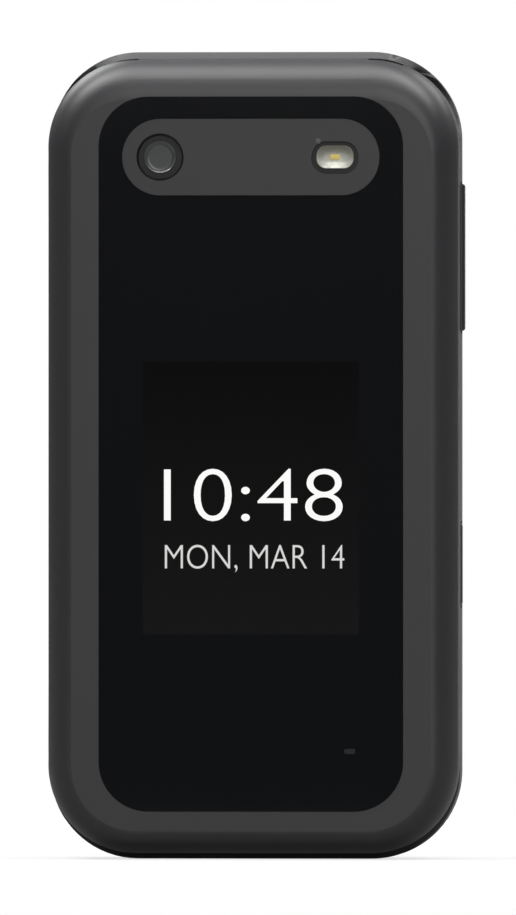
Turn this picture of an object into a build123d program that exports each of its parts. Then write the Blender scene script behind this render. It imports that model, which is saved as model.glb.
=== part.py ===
"""Clamshell mobile phone, shut: a hinged lid with a cover display over a keypad base.

Millimetres. X runs across the phone, Y from the lid's outer face to the back cover, and Z along
its length from the lower end, at zero, to the hinge end. Each sub-part is one solid, or one group
of identical solids, in its own STEP file.
"""
import os
from math import cos, pi, radians, sin, sqrt

from build123d import *

os.makedirs("parts", exist_ok=True)

# ---- Overall form ----
phone_width = 55.0
phone_length = 108.0
phone_depth = 18.9
corner_radius = 11.8
lid_depth = 8.1
lid_gap = 0.3
lid_foot = 0.8
lid_head = 1.0
lid_side_round = 3.5
lid_low_round = 3.0
base_side_round = 3.6
base_low_round = 3.2
base_top_round = 5.0
base_lip_round = 0.5
round_steps = 6

# ---- Hinge ----
nose_radius = 5.6
nose_clearance = 0.25
lid_opening = 150.0
groove_relief = 0.35
knuckle_inset = 11.9
knuckle_width = 4.2
knuckle_radius = 4.3
knuckle_clearance = 0.2
knuckle_side_gap = 0.25
neck_upper_angle = 228.0
neck_lower_angle = 250.0
slot_front_angle = 76.0
slot_margin_angle = 3.0
shaft_radius = 1.45
shaft_running = 0.05
shaft_seat = 0.01
shaft_reach = 2.8
pin_bore_radius = 1.1
barrel_radius = 2.9
barrel_length = 11.0
barrel_end_play = 0.15
flex_pocket_length = 8.3
flex_pocket_radius = 4.0
flex_roll_radius = 0.9
flex_width = 2.6
flex_thickness = 0.2
flex_margin = 0.5
lid_flex_margin = 0.4
flex_land = 5.0
flex_angle = 240.0
slot_reach = 8.5
neck_turn_angle = 135.0

# ---- Lid shell and what shows on its outer face ----
lid_wall = 1.4
lid_front_wall = 1.4
lid_bay_drop = 12.1
window_border = 7.2
window_low = 6.5
window_drop = 6.2
window_corner = 6.55
window_thickness = 0.65
window_sink = 0.05
window_fit = 0.08
pill_border = 3.1
pill_height = 10.2
pill_drop = 14.2
pill_fit = 0.06
camera_inset = 5.05
ring_radius = 3.1
lens_radius = 2.12
lens_fit = 0.08
lens_sink = 0.28
lens_bevel = 0.2
ring_bevel = 0.4
camera_side = 6.4
camera_length = 3.3
camera_barrel_radius = 2.6
flash_inset = 5.95
flash_width = 5.0
flash_height = 3.1
flash_corner = 1.3
flash_sink = 0.12
flash_dish = 0.5
led_side = 2.4
led_corner = 0.08
led_dome_radius = 0.8
cover_display_width = 32.4
cover_display_height = 42.4
cover_display_drop = 39.6
cover_display_depth = 1.35
cover_display_fit = 0.3
lid_mic_inset = 7.1
lid_mic_z = 14.5
lid_mic_width = 1.6
lid_mic_height = 0.8
lid_mic_end_margin = 0.04

# ---- Inner side of the lid ----
frame_depth = 2.1
frame_drop = 14.4
frame_edge_round = 0.5
inner_window_border = 3.8
inner_window_low = 17.0
inner_window_drop = 19.2
inner_window_corner = 2.0
inner_window_thickness = 0.8
display_view_side = 1.8
display_view_end = 6.8
display_view_corner = 2.0
display_rise = 0.1
display_side = 0.4
display_end = 2.9
display_corner = 0.3
display_depth = 2.3
earpiece_width = 9.0
earpiece_height = 1.5
earpiece_z = 9.4
earpiece_mesh_thickness = 0.25
mesh_margin = 0.6
mesh_fit = 0.08
mesh_sink = 0.1
receiver_width = 10.0
receiver_height = 6.0
receiver_depth = 2.2
receiver_corner = 2.0
lid_board_side = 3.3
lid_board_low = 14.0
lid_board_drop = 12.6
lid_board_y = -6.95
lid_board_thickness = 0.75
board_cut_margin = 0.3
lid_boss_radius = 1.9
lid_low_screw_inset = 8.5
lid_low_screw_z = 7.6
lid_high_screw_inset = 4.5
lid_high_screw_drop = 17.2
bumper_radius = 2.0
bumper_sink = 0.6
bumper_gap = 0.1
bumper_fit = 0.08

# ---- Base housings ----
base_wall = 1.4
fascia = 1.2
bay_drop = 14.1
seam_y = 5.2
cover_seam_y = 6.5
cover_wall = 1.1
cover_seam_gap = 0.05
inner_fit = 0.15
chassis_floor_y = 3.75
chassis_floor = 0.5
cover_lift = 0.15
battery_side_gap = 0.35
battery_low = 22.5
battery_drop = 31.5
battery_fit = 0.25
battery_corner = 1.2
battery_edge_round = 0.5
pocket_corner = 1.5
pocket_gap = 2.4
pocket_edge = 3.4
speaker_slot_count = 5
speaker_slot_pitch = 2.0
speaker_slot_width = 9.0
speaker_slot_height = 0.9
pry_width = 9.0
pry_depth = 0.8

# ---- Boards and what they carry ----
board_side = 2.9
board_low = 3.0
board_drop = 15.0
board_y = 1.5
board_thickness = 0.8
board_corner = 9.5
solder_gap = 0.05
shield_depth = 1.3
shield_wall = 0.2
shield_sizes = ((30.0, 22.0), (22.0, 18.0))
shield_x = (-3.0, -4.0)
shield_upper_drop = 12.25
shield_lower_rise = 13.75
dome_sheet_thickness = 0.2
dome_height = 0.1
dome_radius = 2.1
mat_thickness = 0.45
mat_gap = 0.05
mat_hole_margin = 0.5
mat_inset = 2.6

# ---- Keypad ----
key_travel = 0.3
key_gap = 0.15
key_sink = 0.1
key_flange = 0.45
key_flange_thickness = 0.25
key_flange_gap = 0.05
key_peg_radius = 1.0
key_corner = 1.6
key_edge_round = 0.3
keypad_side = 5.3
digit_gap = 1.4
digit_column_count = 3
digit_step_count = 3
digit_low_z = 9.4
call_step = 10.4
call_height = 7.4
soft_width = 9.4
soft_height = 7.4
soft_inset = 8.9
soft_drop = 14.9
nav_drop = 10.4
call_drop = 20.0
nav_outer_radius = 11.9
nav_inner_radius = 6.1
nav_peg_radius = 0.9
nav_peg_orbit = 9.0
ok_radius = 5.8

# ---- Side keys ----
side_key_y = 2.05
side_key_width = 2.5
side_key_slot_gap = 0.12
side_flange_depth = 0.6
side_flange_inset = 1.78
side_flange_margin = 0.6
side_key_round = 0.45
side_key_end_gap = 0.3
rocker_drop = 27.5
rocker_length = 19.7
rocker_proud = 0.5
emergency_z = 39.4
emergency_length = 11.0
emergency_proud = 0.15
switch_inset = 3.6
switch_width = 1.7
switch_height = 3.2
switch_depth = 1.1
rocker_switch_spread = 6.2

# ---- Ports, sound, vibration, cards and antenna ----
usb_width = 7.5
usb_height = 2.5
usb_depth = 5.3
usb_wall = 0.3
usb_tongue_width = 3.6
usb_tongue_height = 0.6
usb_inset = 0.25
port_fit = 0.2
jack_radius = 1.78
jack_sleeve_radius = 2.3
jack_length = 13.0
jack_y = 2.55
jack_drop = 20.6
jack_body_margin = 0.3
microphone_x = 9.0
microphone_hole_radius = 0.5
microphone_size = (4.0, 1.2, 3.0)
contact_width = 9.0
contact_depth = 3.0
contact_pin_count = 3
contact_pin_pitch = 2.6
contact_pin_radius = 0.45
speaker_card_gap = 2.0
speaker_side_room = 15.5
speaker_margin = 3.0
speaker_depth = 3.2
speaker_corner = 2.0
speaker_recess_turn = 7
motor_radius = 5.0
motor_depth = 2.7
motor_inset = 6.25
card_width = 16.0
card_margin = 2.5
card_depth = 2.4
card_inset = 10.75
component_corner = 1.2
antenna_width = 15.0
antenna_inset = 10.65
antenna_depth = 2.6
antenna_rib = 0.9
antenna_cell_count = 4

# ---- Screws ----
screw_radius = 0.7
screw_head_radius = 1.35
screw_head_depth = 0.7
screw_fit = 0.08
boss_radius = 1.6
side_screw_inset = 3.8
side_screw_heights = (18.6, 57.0)
top_screw_x = 9.5
top_screw_drop = 10.4
chassis_screw_seat_y = 5.9

# ---- Derived places ----
half_width = phone_width / 2
front_y = -phone_depth / 2
back_y = phone_depth / 2
lid_inner_y = front_y + lid_depth
base_front_y = lid_inner_y + lid_gap
lid_top = phone_length - lid_head
lid_bay_top = phone_length - lid_bay_drop
frame_top = phone_length - frame_drop
bay_top = phone_length - bay_drop
axis_y = front_y + nose_radius
axis_z = lid_top - nose_radius
channel_radius = nose_radius + nose_clearance
frame_seam_y = lid_inner_y - frame_depth
window_width = phone_width - 2 * window_border
window_high = phone_length - window_drop
window_z = (window_low + window_high) / 2
window_height = window_high - window_low
window_y = front_y + window_sink
window_floor_y = window_y + window_thickness
lid_bay_y = front_y + lid_front_wall
boss_root_y = (window_floor_y + lid_bay_y) / 2
pill_width = window_width - 2 * pill_border
pill_z = phone_length - pill_drop
camera_x = camera_inset - pill_width / 2
flash_x = pill_width / 2 - flash_inset
lid_mic_x = window_width / 2 - lid_mic_inset
cover_display_z = phone_length - cover_display_drop - cover_display_height / 2
inner_window_width = phone_width - 2 * inner_window_border
inner_window_high = phone_length - inner_window_drop
inner_window_z = (inner_window_low + inner_window_high) / 2
inner_window_height = inner_window_high - inner_window_low
display_view_width = inner_window_width - 2 * display_view_side
display_view_height = inner_window_height - 2 * display_view_end
display_width = inner_window_width - 2 * display_side
display_height = inner_window_height - 2 * display_end
display_z = inner_window_z + display_rise
lid_board_width = phone_width - 2 * lid_board_side
lid_board_high = phone_length - lid_board_drop
lid_screw_low = (half_width - lid_low_screw_inset, lid_low_screw_z)
lid_screw_high = (half_width - lid_high_screw_inset, phone_length - lid_high_screw_drop)
knuckle_inner_x = half_width - knuckle_inset
knuckle_outer_x = knuckle_inner_x + knuckle_width
slot_inner_x = knuckle_inner_x - knuckle_side_gap
slot_outer_x = knuckle_outer_x + knuckle_side_gap
shaft_end_x = slot_outer_x + shaft_reach
fascia_rear_y = base_front_y + fascia
cover_inner_y = back_y - cover_wall
chassis_rear_y = cover_inner_y - cover_lift
battery_y = chassis_floor_y + chassis_floor + inner_fit
side_screw_x = half_width - side_screw_inset
top_screw_z = phone_length - top_screw_drop
battery_width = 2 * (side_screw_x - screw_head_radius - battery_side_gap)
battery_length = phone_length - battery_drop - battery_low
battery_z = battery_low + battery_length / 2
board_width = phone_width - 2 * board_side
board_high = phone_length - board_drop
board_rear_y = board_y + board_thickness + solder_gap
dome_y = board_y - dome_sheet_thickness
mat_y = dome_y - mat_gap - mat_thickness
soft_x = half_width - soft_inset
soft_z = bay_top - soft_drop
nav_z = soft_z - nav_drop
call_row_z = nav_z - call_drop
digit_pitch_x = (phone_width - 2 * keypad_side) / digit_column_count
digit_pitch_z = (call_row_z - call_step - digit_low_z) / digit_step_count
digit_width = digit_pitch_x - digit_gap
digit_height = digit_pitch_z - digit_gap
key_face_y = base_front_y + key_sink
key_flange_y = fascia_rear_y + key_flange_gap
key_peg_end_y = dome_y - dome_height - key_travel - mat_gap
battery_pocket_low = battery_low - battery_fit
battery_pocket_high = battery_low + battery_length + battery_fit
shield_places = (
    (shield_x[0], battery_pocket_high - shield_upper_drop),
    (shield_x[1], battery_pocket_low + shield_lower_rise),
)
side_flange_x = half_width - side_flange_inset
switch_x = half_width - switch_inset
rocker_z = phone_length - rocker_drop
jack_z = phone_length - jack_drop


def facing(y):
    """Plane seen from the lid's side at depth y; negative extrusions run to the back."""
    return Plane.XZ.offset(-y)


def point_at(radius, angle):
    """Point in the YZ plane about the hinge axis; zero is to the front and 90 is up."""
    return (axis_y - radius * cos(radians(angle)), axis_z + radius * sin(radians(angle)))


def plate(width, height, radius, y_from, y_to, centre=(0, 0), mode=Mode.ADD):
    """Rounded rectangle in the XZ plane, from one depth to another."""
    with BuildSketch(facing(y_from)) as face:
        with Locations(centre):
            RectangleRounded(width, height, radius)
    extrude(face.sketch, amount=y_from - y_to, mode=mode)


def disc(radius, y_from, y_to, centres=((0, 0),), mode=Mode.ADD):
    """One or more round columns along Y, from one depth to another."""
    with BuildSketch(facing(y_from)) as face:
        with Locations(*centres):
            Circle(radius)
    extrude(face.sketch, amount=y_from - y_to, mode=mode)


def rod(radius, x_from, x_to, centre=(axis_y, axis_z), mode=Mode.ADD):
    """Round column along X between two places, about the hinge axis unless told otherwise."""
    with BuildSketch(Plane.YZ.offset(x_from)) as face:
        with Locations(centre):
            Circle(radius)
    extrude(face.sketch, amount=x_to - x_from, mode=mode)


def block(x_from, x_to, y_from, y_to, z_from, z_to, mode=Mode.ADD):
    """Plain block between two corners."""
    with Locations(((x_from + x_to) / 2, (y_from + y_to) / 2, (z_from + z_to) / 2)):
        Box(x_to - x_from, y_to - y_from, z_to - z_from, mode=mode)


def slab(y_from, y_to, z_high=2 * phone_length, mode=Mode.INTERSECT):
    """Everything between two depths, and below a height if one is given."""
    block(-phone_width, phone_width, y_from, y_to, -phone_length, z_high, mode=mode)


def soft_end(face_y, inward, z_low, z_high, soft_depth, side_round, low_round, top_round, skin=0.0):
    """Rounded end of a housing: outlines that grow from its flat face to its full width.

    inward is 1 if the housing lies behind the face and -1 if it lies in front of it, soft_depth is
    how deep the rounding runs, and skin draws the whole form in, for the inner side of a wall.
    """
    for step in range(round_steps + 1):
        angle = pi / 2 * step / round_steps
        drawn = 1 - sin(angle)
        side, low, top = side_round * drawn, low_round * drawn, top_round * drawn
        depth = soft_depth * (1 - cos(angle)) + skin
        width = phone_width - 2 * (side + skin)
        height = z_high - z_low - low - top - 2 * skin
        with BuildSketch(facing(face_y + inward * depth)) as face:
            with Locations((0, (z_low + low + z_high - top) / 2)):
                Rectangle(width, height)
            fillet(face.vertices().group_by(Axis.Y)[-1], corner_radius - skin - (side + top) / 2)
            fillet(face.vertices().group_by(Axis.Y)[0], corner_radius - skin - (side + low) / 2)
        add(face.sketch)
    loft()


pill_corner = pill_height / 2 - pill_fit / 2
slot_start = point_at(slot_reach, slot_front_angle)
slot_end = point_at(slot_reach, neck_lower_angle + slot_margin_angle)
slot_middle = point_at(slot_reach, (slot_front_angle + neck_lower_angle + slot_margin_angle) / 2)
barrel_x = slot_inner_x - barrel_end_play - barrel_length
flex_pocket_x = lid_wall * 2 - slot_inner_x
lid_flex_x = flex_pocket_x + flex_pocket_length - flex_width - lid_wall / 2
lid_board_rear_y = lid_board_y + lid_board_thickness
lid_board_corner = corner_radius - lid_wall
inner_window_floor_y = lid_inner_y - window_sink - inner_window_thickness
earpiece_corner = earpiece_height / 2 - mesh_fit
lid_screw_seat_y = lid_inner_y - bumper_sink - solder_gap - screw_head_depth
driver_radius = screw_head_radius / 2
lid_flex_path = (
    (axis_y, axis_z),
    (axis_y - barrel_radius / 2, axis_z - flex_pocket_radius),
    (lid_board_rear_y + flex_thickness, lid_board_high - flex_margin),
    (lid_board_rear_y + flex_thickness, lid_board_high - flex_land),
)
base_flex_path = (
    point_at(shaft_radius + flex_thickness, flex_angle),
    point_at(channel_radius + fascia * 2, flex_angle),
    (dome_y - flex_thickness, board_high - flex_thickness),
    (dome_y - flex_thickness, board_high - flex_thickness - flex_land / 4),
)
neck_foot_z = bay_top + fascia
battery_floor_y = chassis_floor_y + chassis_floor
battery_rear_y = chassis_rear_y
contact_rear_y = battery_y + contact_depth
upper_pocket_low = battery_pocket_high + pocket_gap
upper_pocket_high = top_screw_z - screw_head_radius - 2 * solder_gap
lower_pocket_high = battery_pocket_low - pocket_gap
lower_pocket_low = pocket_edge
lower_pocket_width = 2 * (side_screw_x - screw_head_radius - 2 * solder_gap)
lower_pocket_corner = (lower_pocket_high - lower_pocket_low) / 2 - pocket_corner
upper_pocket_width = battery_width + 2 * battery_fit
upper_pocket_height = upper_pocket_high - upper_pocket_low
speaker_z = (upper_pocket_low + upper_pocket_high) / 2
card_height = upper_pocket_height - 2 * card_margin
card_x = upper_pocket_width / 2 - card_inset
speaker_width = upper_pocket_width - card_width - speaker_side_room
speaker_height = upper_pocket_height - 2 * speaker_margin
speaker_x = card_x - card_width / 2 - speaker_card_gap - speaker_width / 2
speaker_recess_height = speaker_height - 2 * base_wall
speaker_recess_corner = speaker_recess_height / speaker_recess_turn
motor_x = motor_inset - lower_pocket_width / 2
antenna_x = lower_pocket_width / 2 - antenna_inset
motor_z = (lower_pocket_low + lower_pocket_high) / 2
antenna_height = lower_pocket_high - lower_pocket_low - 2 * battery_fit - pocket_corner
side_slot_half = side_key_width / 2 + side_key_slot_gap
side_screw_places = tuple((side * side_screw_x, z) for side in (-1, 1) for z in side_screw_heights)
top_screw_places = ((-top_screw_x, top_screw_z), (top_screw_x, top_screw_z))
screw_tip_y = fascia_rear_y + fascia
usb_y = board_rear_y + usb_height / 2
usb_corner = usb_height / 3
microphone_y = board_rear_y + microphone_size[1] / 2
jack_mouth_x = -half_width + window_fit
jack_body_half = jack_sleeve_radius + jack_body_margin
card_wall = usb_wall
key_sizes = {}
digit_rows = (("key_star", "key_0", "key_hash"), ("key_7", "key_8", "key_9"),
              ("key_4", "key_5", "key_6"), ("key_1", "key_2", "key_3"))
for row, row_names in enumerate(digit_rows):
    for column, name in enumerate(row_names):
        place = ((column - 1) * digit_pitch_x, digit_low_z + row * digit_pitch_z)
        key_sizes[name] = (digit_width, digit_height, place)
for column, name in enumerate(("call_key", "clear_key", "end_key")):
    key_sizes[name] = (digit_width, call_height, ((column - 1) * digit_pitch_x, call_row_z))
for side, name in ((-1, "soft_key_left"), (1, "soft_key_right")):
    key_sizes[name] = (soft_width, soft_height, (side * soft_x, soft_z))
nav_peg_places = tuple(
    (nav_peg_orbit * cos(pi / 2 * turn), nav_z + nav_peg_orbit * sin(pi / 2 * turn)) for turn in range(4)
)
key_centres = tuple(size[2] for size in key_sizes.values()) + ((0, nav_z),)
mat_size = (board_width - 2 * mat_inset, soft_z + soft_height - digit_low_z)
mat_centre_z = (digit_low_z - digit_height / 2 + soft_z + soft_height / 2) / 2 + mat_thickness
antenna_cell = (antenna_width - antenna_rib) / antenna_cell_count - antenna_rib
groove_foot = point_at(nose_radius + groove_relief, lid_opening)
groove_head = (
    groove_foot[0] - 2 * nose_radius * cos(radians(lid_opening - 90)),
    groove_foot[1] + 2 * nose_radius * sin(radians(lid_opening - 90)),
)


def both_sides(x, z):
    """The same height at the left and the right."""
    return ((-x, z), (x, z))


# ---- Outer form of the lid: soft front, hinge nose at its head ----
with BuildPart() as lid_form:
    soft_end(front_y, 1, lid_foot, lid_top, nose_radius, lid_side_round, lid_low_round, nose_radius)
    with BuildSketch(facing(axis_y)):
        with Locations((0, (lid_foot + lid_top) / 2)):
            RectangleRounded(phone_width, lid_top - lid_foot, corner_radius)
    extrude(amount=-nose_radius)
    with BuildSketch(Plane.YZ.offset(-half_width)) as lid_side:
        with BuildLine():
            neck_z = axis_z - sqrt(nose_radius**2 - (lid_inner_y - axis_y) ** 2)
            Polyline(
                (front_y, axis_z),
                (front_y, lid_foot),
                (lid_inner_y, lid_foot),
                (lid_inner_y, neck_z),
            )
            ThreePointArc((lid_inner_y, neck_z), point_at(nose_radius, neck_turn_angle), (front_y, axis_z))
        make_face()
    extrude(amount=phone_width, mode=Mode.INTERSECT)

# ---- Outer form of the base: soft back, grooved hinge end ----
with BuildPart() as base_form:
    soft_end(back_y, -1, 0, phone_length, base_top_round, base_side_round, base_low_round, base_top_round)
    with BuildSketch(facing(base_front_y)):
        with Locations((0, phone_length / 2)):
            RectangleRounded(phone_width, phone_length, corner_radius)
    extrude(amount=-(back_y - base_top_round - base_front_y))
    fillet(base_form.faces().sort_by(Axis.Y)[0].edges(), base_lip_round)
    with BuildSketch(Plane.YZ.offset(-half_width)) as groove:
        with Locations((axis_y, axis_z)):
            Circle(channel_radius)
        with BuildLine():
            Polyline(
                (axis_y, axis_z),
                groove_foot,
                groove_head,
                (2 * front_y, groove_head[1]),
                (2 * front_y, axis_z),
                close=True,
            )
        make_face()
    extrude(amount=phone_width, mode=Mode.SUBTRACT)


# ---- Hollow inside the lid, and the inner side of the back cover ----
with BuildPart() as lid_bay:
    soft_end(
        front_y, 1, lid_foot, lid_bay_top + lid_wall, nose_radius, lid_side_round, lid_low_round,
        lid_wall / 2, skin=lid_wall,
    )

with BuildPart() as back_hollow:
    soft_end(
        back_y, -1, 0, phone_length, base_top_round, base_side_round, base_low_round, base_top_round,
        skin=cover_wall,
    )

# ---- Lid shell: outer wall, window recess, bay, bosses and hinge nose ----
with BuildPart() as lid_shell:
    add(lid_form.part)
    add(lid_bay.part, mode=Mode.SUBTRACT)
    slab(frame_seam_y, back_y, frame_top, Mode.SUBTRACT)
    plate(
        window_width + 2 * window_fit, window_height + 2 * window_fit, window_corner + window_fit,
        front_y, window_floor_y, centre=(0, window_z), mode=Mode.SUBTRACT,
    )
    plate(
        cover_display_width + 2 * cover_display_fit, cover_display_height + 2 * cover_display_fit,
        cover_display_fit, window_floor_y, lid_bay_y, centre=(0, cover_display_z), mode=Mode.SUBTRACT,
    )
    disc(camera_barrel_radius + lens_fit, window_floor_y, lid_bay_y, ((camera_x, pill_z),), Mode.SUBTRACT)
    disc(led_side / 2, window_floor_y, lid_bay_y, ((flash_x, pill_z),), Mode.SUBTRACT)
    block(
        camera_x - camera_side / 2 - inner_fit, camera_x + camera_side / 2 + inner_fit,
        lid_bay_y, lid_bay_y + camera_length, pill_z,
        pill_z + camera_side / 2 + inner_fit, mode=Mode.SUBTRACT,
    )
    disc(lid_boss_radius, boss_root_y, frame_seam_y, both_sides(*lid_screw_low))
    disc(lid_boss_radius, boss_root_y, frame_seam_y, both_sides(*lid_screw_high))
    disc(screw_radius, lid_bay_y, frame_seam_y, both_sides(*lid_screw_low), Mode.SUBTRACT)
    disc(screw_radius, lid_bay_y, frame_seam_y, both_sides(*lid_screw_high), Mode.SUBTRACT)
    for slot_x in (-slot_outer_x, slot_inner_x):
        with BuildSketch(Plane.YZ.offset(slot_x)) as hinge_slot:
            with Locations((axis_y, axis_z)):
                Circle(knuckle_radius + knuckle_clearance)
            with BuildLine():
                Line((axis_y, axis_z), slot_start)
                ThreePointArc(slot_start, slot_middle, slot_end)
                Line(slot_end, (axis_y, axis_z))
            make_face()
        extrude(amount=slot_outer_x - slot_inner_x, mode=Mode.SUBTRACT)
    rod(barrel_radius + shaft_running, barrel_x - barrel_end_play, slot_inner_x, mode=Mode.SUBTRACT)
    rod(shaft_radius + shaft_running, -shaft_end_x, shaft_end_x, mode=Mode.SUBTRACT)
    rod(flex_pocket_radius, flex_pocket_x, flex_pocket_x + flex_pocket_length, mode=Mode.SUBTRACT)
    block(
        lid_flex_x - lid_flex_margin, lid_flex_x + flex_width + lid_flex_margin,
        lid_flex_path[2][0] - flex_margin, lid_flex_path[1][0] + flex_margin,
        lid_bay_top - lid_wall, axis_z - barrel_radius, mode=Mode.SUBTRACT,
    )
lid_shell.part.label = "lid_shell"
export_step(lid_shell.part, "parts/lid_shell.step")

# ---- Outer window, with its pill-shaped opening for the camera plate ----
with BuildPart() as lid_window:
    plate(window_width, window_height, window_corner, window_y, window_floor_y, centre=(0, window_z))
    plate(
        pill_width + 2 * pill_fit, pill_height + 2 * pill_fit, pill_corner + pill_fit,
        front_y, window_floor_y, centre=(0, pill_z), mode=Mode.SUBTRACT,
    )
    plate(
        lid_mic_width, lid_mic_height, lid_mic_height / 2 - lid_mic_end_margin,
        window_y, window_floor_y, centre=(lid_mic_x, lid_mic_z), mode=Mode.SUBTRACT,
    )
lid_window.part.label = "lid_window"
export_step(lid_window.part, "parts/lid_window.step")

# ---- Camera plate, with the camera's hole and the flash's dished hole ----
with BuildPart() as camera_plate:
    plate(pill_width, pill_height, pill_corner, front_y, window_floor_y, centre=(0, pill_z))
    disc(ring_radius + pill_fit, front_y, window_floor_y, ((camera_x, pill_z),), Mode.SUBTRACT)
    plate(
        flash_width + 2 * pill_fit, flash_height + 2 * pill_fit, flash_corner + pill_fit,
        front_y, window_floor_y, centre=(flash_x, pill_z), mode=Mode.SUBTRACT,
    )
    flash_edges = camera_plate.faces().sort_by(Axis.Y)[0].inner_wires().sort_by(Axis.X)[-1].edges()
    chamfer(flash_edges, flash_dish)
camera_plate.part.label = "camera_plate"
export_step(camera_plate.part, "parts/camera_plate.step")

with BuildPart() as camera_ring:
    disc(ring_radius, front_y, window_floor_y, ((camera_x, pill_z),))
    disc(lens_radius + lens_fit, front_y, window_floor_y, ((camera_x, pill_z),), Mode.SUBTRACT)
    chamfer(camera_ring.faces().sort_by(Axis.Y)[0].inner_wires()[0].edges(), ring_bevel)
camera_ring.part.label = "camera_ring"
export_step(camera_ring.part, "parts/camera_ring.step")

with BuildPart() as camera_lens:
    disc(lens_radius, front_y + lens_sink, window_floor_y, ((camera_x, pill_z),))
    chamfer(camera_lens.faces().sort_by(Axis.Y)[0].edges(), lens_bevel)
camera_lens.part.label = "camera_lens"
export_step(camera_lens.part, "parts/camera_lens.step")

with BuildPart() as camera_module:
    disc(camera_barrel_radius, window_floor_y + solder_gap, lid_bay_y, ((camera_x, pill_z),))
    plate(
        camera_side, camera_side, key_flange, lid_bay_y, lid_bay_y + camera_length - inner_fit,
        centre=(camera_x, pill_z),
    )
camera_module.part.label = "camera_module"
export_step(camera_module.part, "parts/camera_module.step")

with BuildPart() as flash_lens:
    plate(
        flash_width, flash_height, flash_corner, front_y + flash_sink, window_floor_y,
        centre=(flash_x, pill_z),
    )
    fillet(flash_lens.faces().sort_by(Axis.Y)[0].edges(), flash_sink)
flash_lens.part.label = "flash_lens"
export_step(flash_lens.part, "parts/flash_lens.step")

with BuildPart() as flash_led:
    plate(led_side, led_side, led_corner, lid_bay_y + solder_gap, lid_board_y, centre=(flash_x, pill_z))
    disc(led_dome_radius, lid_bay_y - led_dome_radius / 2, lid_bay_y + solder_gap, ((flash_x, pill_z),))
flash_led.part.label = "flash_led"
export_step(flash_led.part, "parts/flash_led.step")

# ---- Cover display behind the window ----
with BuildPart() as cover_display:
    plate(
        cover_display_width, cover_display_height, cover_display_fit,
        window_floor_y + solder_gap, window_floor_y + solder_gap + cover_display_depth,
        centre=(0, cover_display_z),
    )
cover_display.part.label = "cover_display"
export_step(cover_display.part, "parts/cover_display.step")

# ---- Lid circuit board ----
with BuildPart() as lid_board:
    plate(
        lid_board_width, lid_board_high - lid_board_low, lid_board_corner,
        lid_board_y, lid_board_rear_y, centre=(0, (lid_board_low + lid_board_high) / 2),
    )
    block(
        camera_x - camera_side / 2 - board_cut_margin, camera_x + camera_side / 2 + board_cut_margin,
        lid_board_y, lid_board_rear_y, pill_z - camera_side / 2 - board_cut_margin, lid_board_high,
        mode=Mode.SUBTRACT,
    )
    disc(lid_boss_radius + board_cut_margin, lid_board_y, lid_board_rear_y, both_sides(*lid_screw_high),
         Mode.SUBTRACT)
lid_board.part.label = "lid_circuit_board"
export_step(lid_board.part, "parts/lid_circuit_board.step")

# ---- Inner frame of the lid ----
with BuildPart() as inner_frame:
    add(lid_form.part)
    slab(frame_seam_y, back_y, frame_top)
    frame_face = inner_frame.faces().sort_by(Axis.Y)[-1]
    fillet(frame_face.edges().sort_by(Axis.Z)[:-1], frame_edge_round)
    plate(
        inner_window_width + 2 * window_fit, inner_window_height + 2 * window_fit,
        inner_window_corner + window_fit, inner_window_floor_y, lid_inner_y,
        centre=(0, inner_window_z), mode=Mode.SUBTRACT,
    )
    plate(
        display_view_width, display_view_height, display_view_corner, frame_seam_y,
        inner_window_floor_y, centre=(0, display_z), mode=Mode.SUBTRACT,
    )
    plate(
        earpiece_width, earpiece_height, earpiece_corner, frame_seam_y, lid_inner_y,
        centre=(0, earpiece_z), mode=Mode.SUBTRACT,
    )
    plate(
        earpiece_width + 2 * mesh_margin, earpiece_height + 2 * mesh_margin,
        earpiece_corner + mesh_margin, lid_inner_y - mesh_sink - earpiece_mesh_thickness,
        lid_inner_y, centre=(0, earpiece_z), mode=Mode.SUBTRACT,
    )
    disc(bumper_radius + bumper_fit, lid_inner_y - bumper_sink, lid_inner_y,
         both_sides(*lid_screw_low), Mode.SUBTRACT)
    for screw_place in (lid_screw_low, lid_screw_high):
        disc(screw_head_radius + screw_fit, lid_screw_seat_y, lid_inner_y,
             both_sides(*screw_place), Mode.SUBTRACT)
        disc(screw_radius + screw_fit, frame_seam_y, lid_screw_seat_y,
             both_sides(*screw_place), Mode.SUBTRACT)
inner_frame.part.label = "lid_inner_frame"
export_step(inner_frame.part, "parts/lid_inner_frame.step")

with BuildPart() as inner_window:
    plate(
        inner_window_width, inner_window_height, inner_window_corner, inner_window_floor_y,
        inner_window_floor_y + inner_window_thickness, centre=(0, inner_window_z),
    )
inner_window.part.label = "inner_window"
export_step(inner_window.part, "parts/inner_window.step")

with BuildPart() as main_display:
    plate(
        display_width, display_height, display_corner, frame_seam_y - solder_gap - display_depth,
        frame_seam_y - solder_gap, centre=(0, display_z),
    )
main_display.part.label = "main_display"
export_step(main_display.part, "parts/main_display.step")

with BuildPart() as earpiece_mesh:
    plate(
        earpiece_width + 2 * (mesh_margin - mesh_fit), earpiece_height + 2 * (mesh_margin - mesh_fit),
        earpiece_corner + mesh_margin - mesh_fit, lid_inner_y - mesh_sink - earpiece_mesh_thickness,
        lid_inner_y - mesh_sink, centre=(0, earpiece_z),
    )
earpiece_mesh.part.label = "earpiece_mesh"
export_step(earpiece_mesh.part, "parts/earpiece_mesh.step")

with BuildPart() as receiver:
    plate(
        receiver_width, receiver_height, receiver_corner,
        frame_seam_y - solder_gap - receiver_depth, frame_seam_y - solder_gap, centre=(0, earpiece_z),
    )
receiver.part.label = "receiver"
export_step(receiver.part, "parts/receiver.step")

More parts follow.
